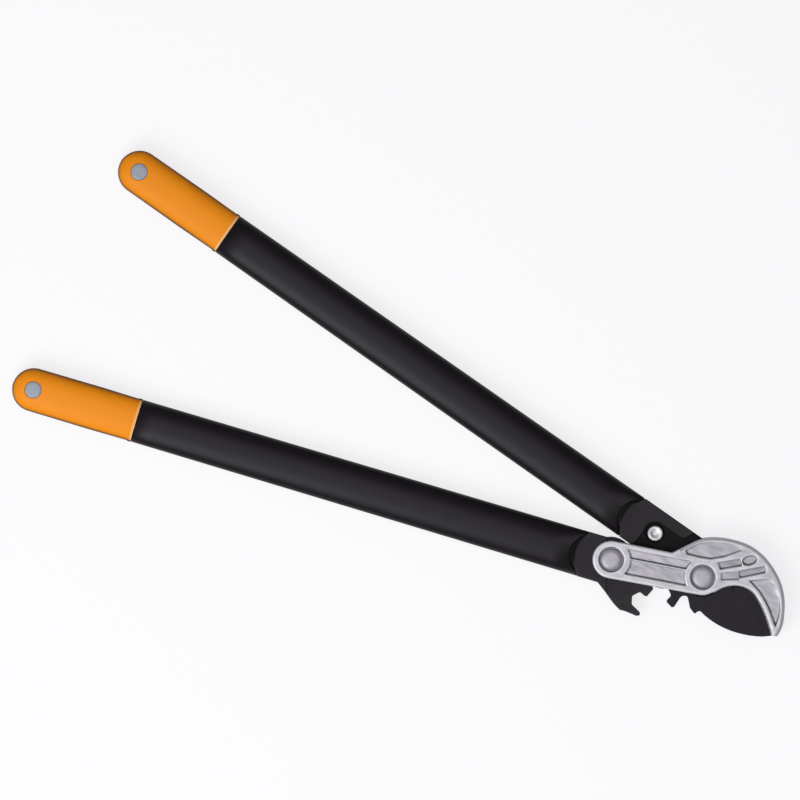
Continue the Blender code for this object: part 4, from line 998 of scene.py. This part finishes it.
class LOPPER_OT_rivets(bpy.types.Operator):
    """The blue-grey rivets near the ends of the grips"""

    bl_idname = "lopper.rivets"
    bl_label = "Grip Rivets"

    def execute(self, context):
        handles = context.scene.lopper_handles
        material = moulded_rivet(context.scene.lopper_finishes)
        radius, shank, head = handles.rivet_radius, 0.0032, 0.0015
        high = handles.grip_height / 2 - 0.0004
        outer = [(0.0, high), (radius * 0.6, high - 0.00003), (radius - 0.0009, high - 0.00015),
                 (radius - 0.0003, high - 0.0004), (radius, high - 0.0008), (radius, high - head)]
        profile = outer + [(shank, high - head), (shank, head - high)] + [(r, -z) for r, z in outer[::-1]]
        for lever in LEVERS:
            _, rivet_at, y = grip_places(lever)
            place = lever_place(lever) @ Vector((rivet_at, y, 0.0))
            piece = placed_forms(lever + "_rivet", turned_form("rivet_form", profile), [place], material)
            dress(piece, material, lever + "_lever", "rivet", lever + "_grip_rivet")
        return {"FINISHED"}


class LOPPER_OT_stage(bpy.types.Operator):
    """The floor, the light and the camera"""

    bl_idname = "lopper.stage"
    bl_label = "Stage"

    def execute(self, context):
        stage = context.scene.lopper_stage
        self.floor(stage)
        self.world(context.scene, stage)
        self.lamp("side_lamp", Vector((-0.45, -1.5, 1.85)), size=1.6, power=stage.side_power)
        self.lamp("top_lamp", Vector((-0.1, -0.3, 2.4)), size=2.4, power=stage.top_power)
        self.camera(context.scene, stage)
        context.scene.view_settings.view_transform = "Standard"
        return {"FINISHED"}

    def floor(self, stage, reach=60.0, gap=0.0002):
        corners = [(-reach, -reach, 0), (reach, -reach, 0), (reach, reach, 0), (-reach, reach, 0)]
        mesh = bpy.data.meshes.new("floor")
        mesh.from_pydata(corners, [], [(0, 1, 2, 3)])
        floor = add_object("floor", mesh)
        floor.location = STAGE_CENTRE - Vector((0.0, 0.0, gap))
        # The eye and the metal see it near white with a faint shadow. What it throws back is dimmer.
        mesh.materials.append(new_material("pale paper floor", {
            "Metallic": 0.0, "Roughness": 0.9, "Specular IOR Level": 0.0,
            "Emission Color": shade(stage.floor),
        }, {
            "eye or mirror": ("larger", {0: "camera ray", 1: "glossy ray"}),
            "seen": ("larger", {0: "eye or mirror", 1: "transmission ray"}),
            "Base Color": ("mix", {BY: "seen", FROM: shade(stage.floor_return), TO: shade(stage.floor, 0.2)}),
            "Emission Strength": ("times", {0: "seen", 1: 0.8}),
        }))

    def world(self, scene, stage):
        world = bpy.data.worlds.new("soft room")
        world.use_nodes = True
        background = world.node_tree.nodes["Background"]
        background.inputs["Color"].default_value = shade(stage.world)
        background.inputs["Strength"].default_value = stage.world_level
        scene.world = world

    def lamp(self, name, place, size, power):
        data = bpy.data.lights.new(name, "AREA")
        data.shape = "DISK"
        data.size = size
        data.energy = power
        lamp = add_object(name, data)
        lamp.location = STAGE_CENTRE + place
        lamp.rotation_mode = "QUATERNION"
        lamp.rotation_quaternion = (-place).to_track_quat("-Z", "Y")

    def camera(self, scene, stage):
        data = bpy.data.cameras.new("camera")
        data.lens = stage.lens
        data.sensor_width = 36.0
        data.clip_end = 100.0
        camera = add_object("camera", data)
        above = MID + stage.field * stage.lens / data.sensor_width
        camera.matrix_world = (Matrix.Translation((*VIEW_CENTRE, above))
                               @ Matrix.Rotation(stage.turn, 4, "Z"))
        scene.camera = camera


class LOPPER_PT_panel(bpy.types.Panel):
    """Lists the lopper's pieces"""

    bl_label = "Geared Anvil Lopper"
    bl_idname = "LOPPER_PT_panel"
    bl_space_type = "VIEW_3D"
    bl_region_type = "UI"
    bl_category = "Lopper"

    def draw(self, context):
        for operator in OPERATORS:
            self.layout.operator(operator.bl_idname)
        for name in GROUPS:
            group = getattr(context.scene, name)
            box = self.layout.box()
            for setting in group.__annotations__:
                box.prop(group, setting)


GROUPS = {"lopper_handles": LopperHandles, "lopper_edges": LopperEdges,
          "lopper_finishes": LopperFinishes, "lopper_stage": LopperStage}
OPERATORS = (LOPPER_OT_casting, LOPPER_OT_anvil, LOPPER_OT_axles, LOPPER_OT_small_parts, LOPPER_OT_blade,
             LOPPER_OT_heads, LOPPER_OT_tubes, LOPPER_OT_grips, LOPPER_OT_rivets, LOPPER_OT_stage)


def register():
    for name, group in GROUPS.items():
        bpy.utils.register_class(group)
        setattr(bpy.types.Scene, name, bpy.props.PointerProperty(type=group))
    for operator in OPERATORS:
        bpy.utils.register_class(operator)
    bpy.utils.register_class(LOPPER_PT_panel)


def unregister():
    bpy.utils.unregister_class(LOPPER_PT_panel)
    for operator in reversed(OPERATORS):
        bpy.utils.unregister_class(operator)
    for name, group in GROUPS.items():
        delattr(bpy.types.Scene, name)
        bpy.utils.unregister_class(group)


def main():
    register()
    bpy.ops.lopper.casting()
    bpy.ops.lopper.anvil()
    bpy.ops.lopper.axles()
    bpy.ops.lopper.small_parts()
    bpy.ops.lopper.blade()
    bpy.ops.lopper.heads()
    bpy.ops.lopper.tubes()
    bpy.ops.lopper.grips()
    bpy.ops.lopper.rivets()
    bpy.ops.lopper.stage()


if __name__ == "__main__":
    main()
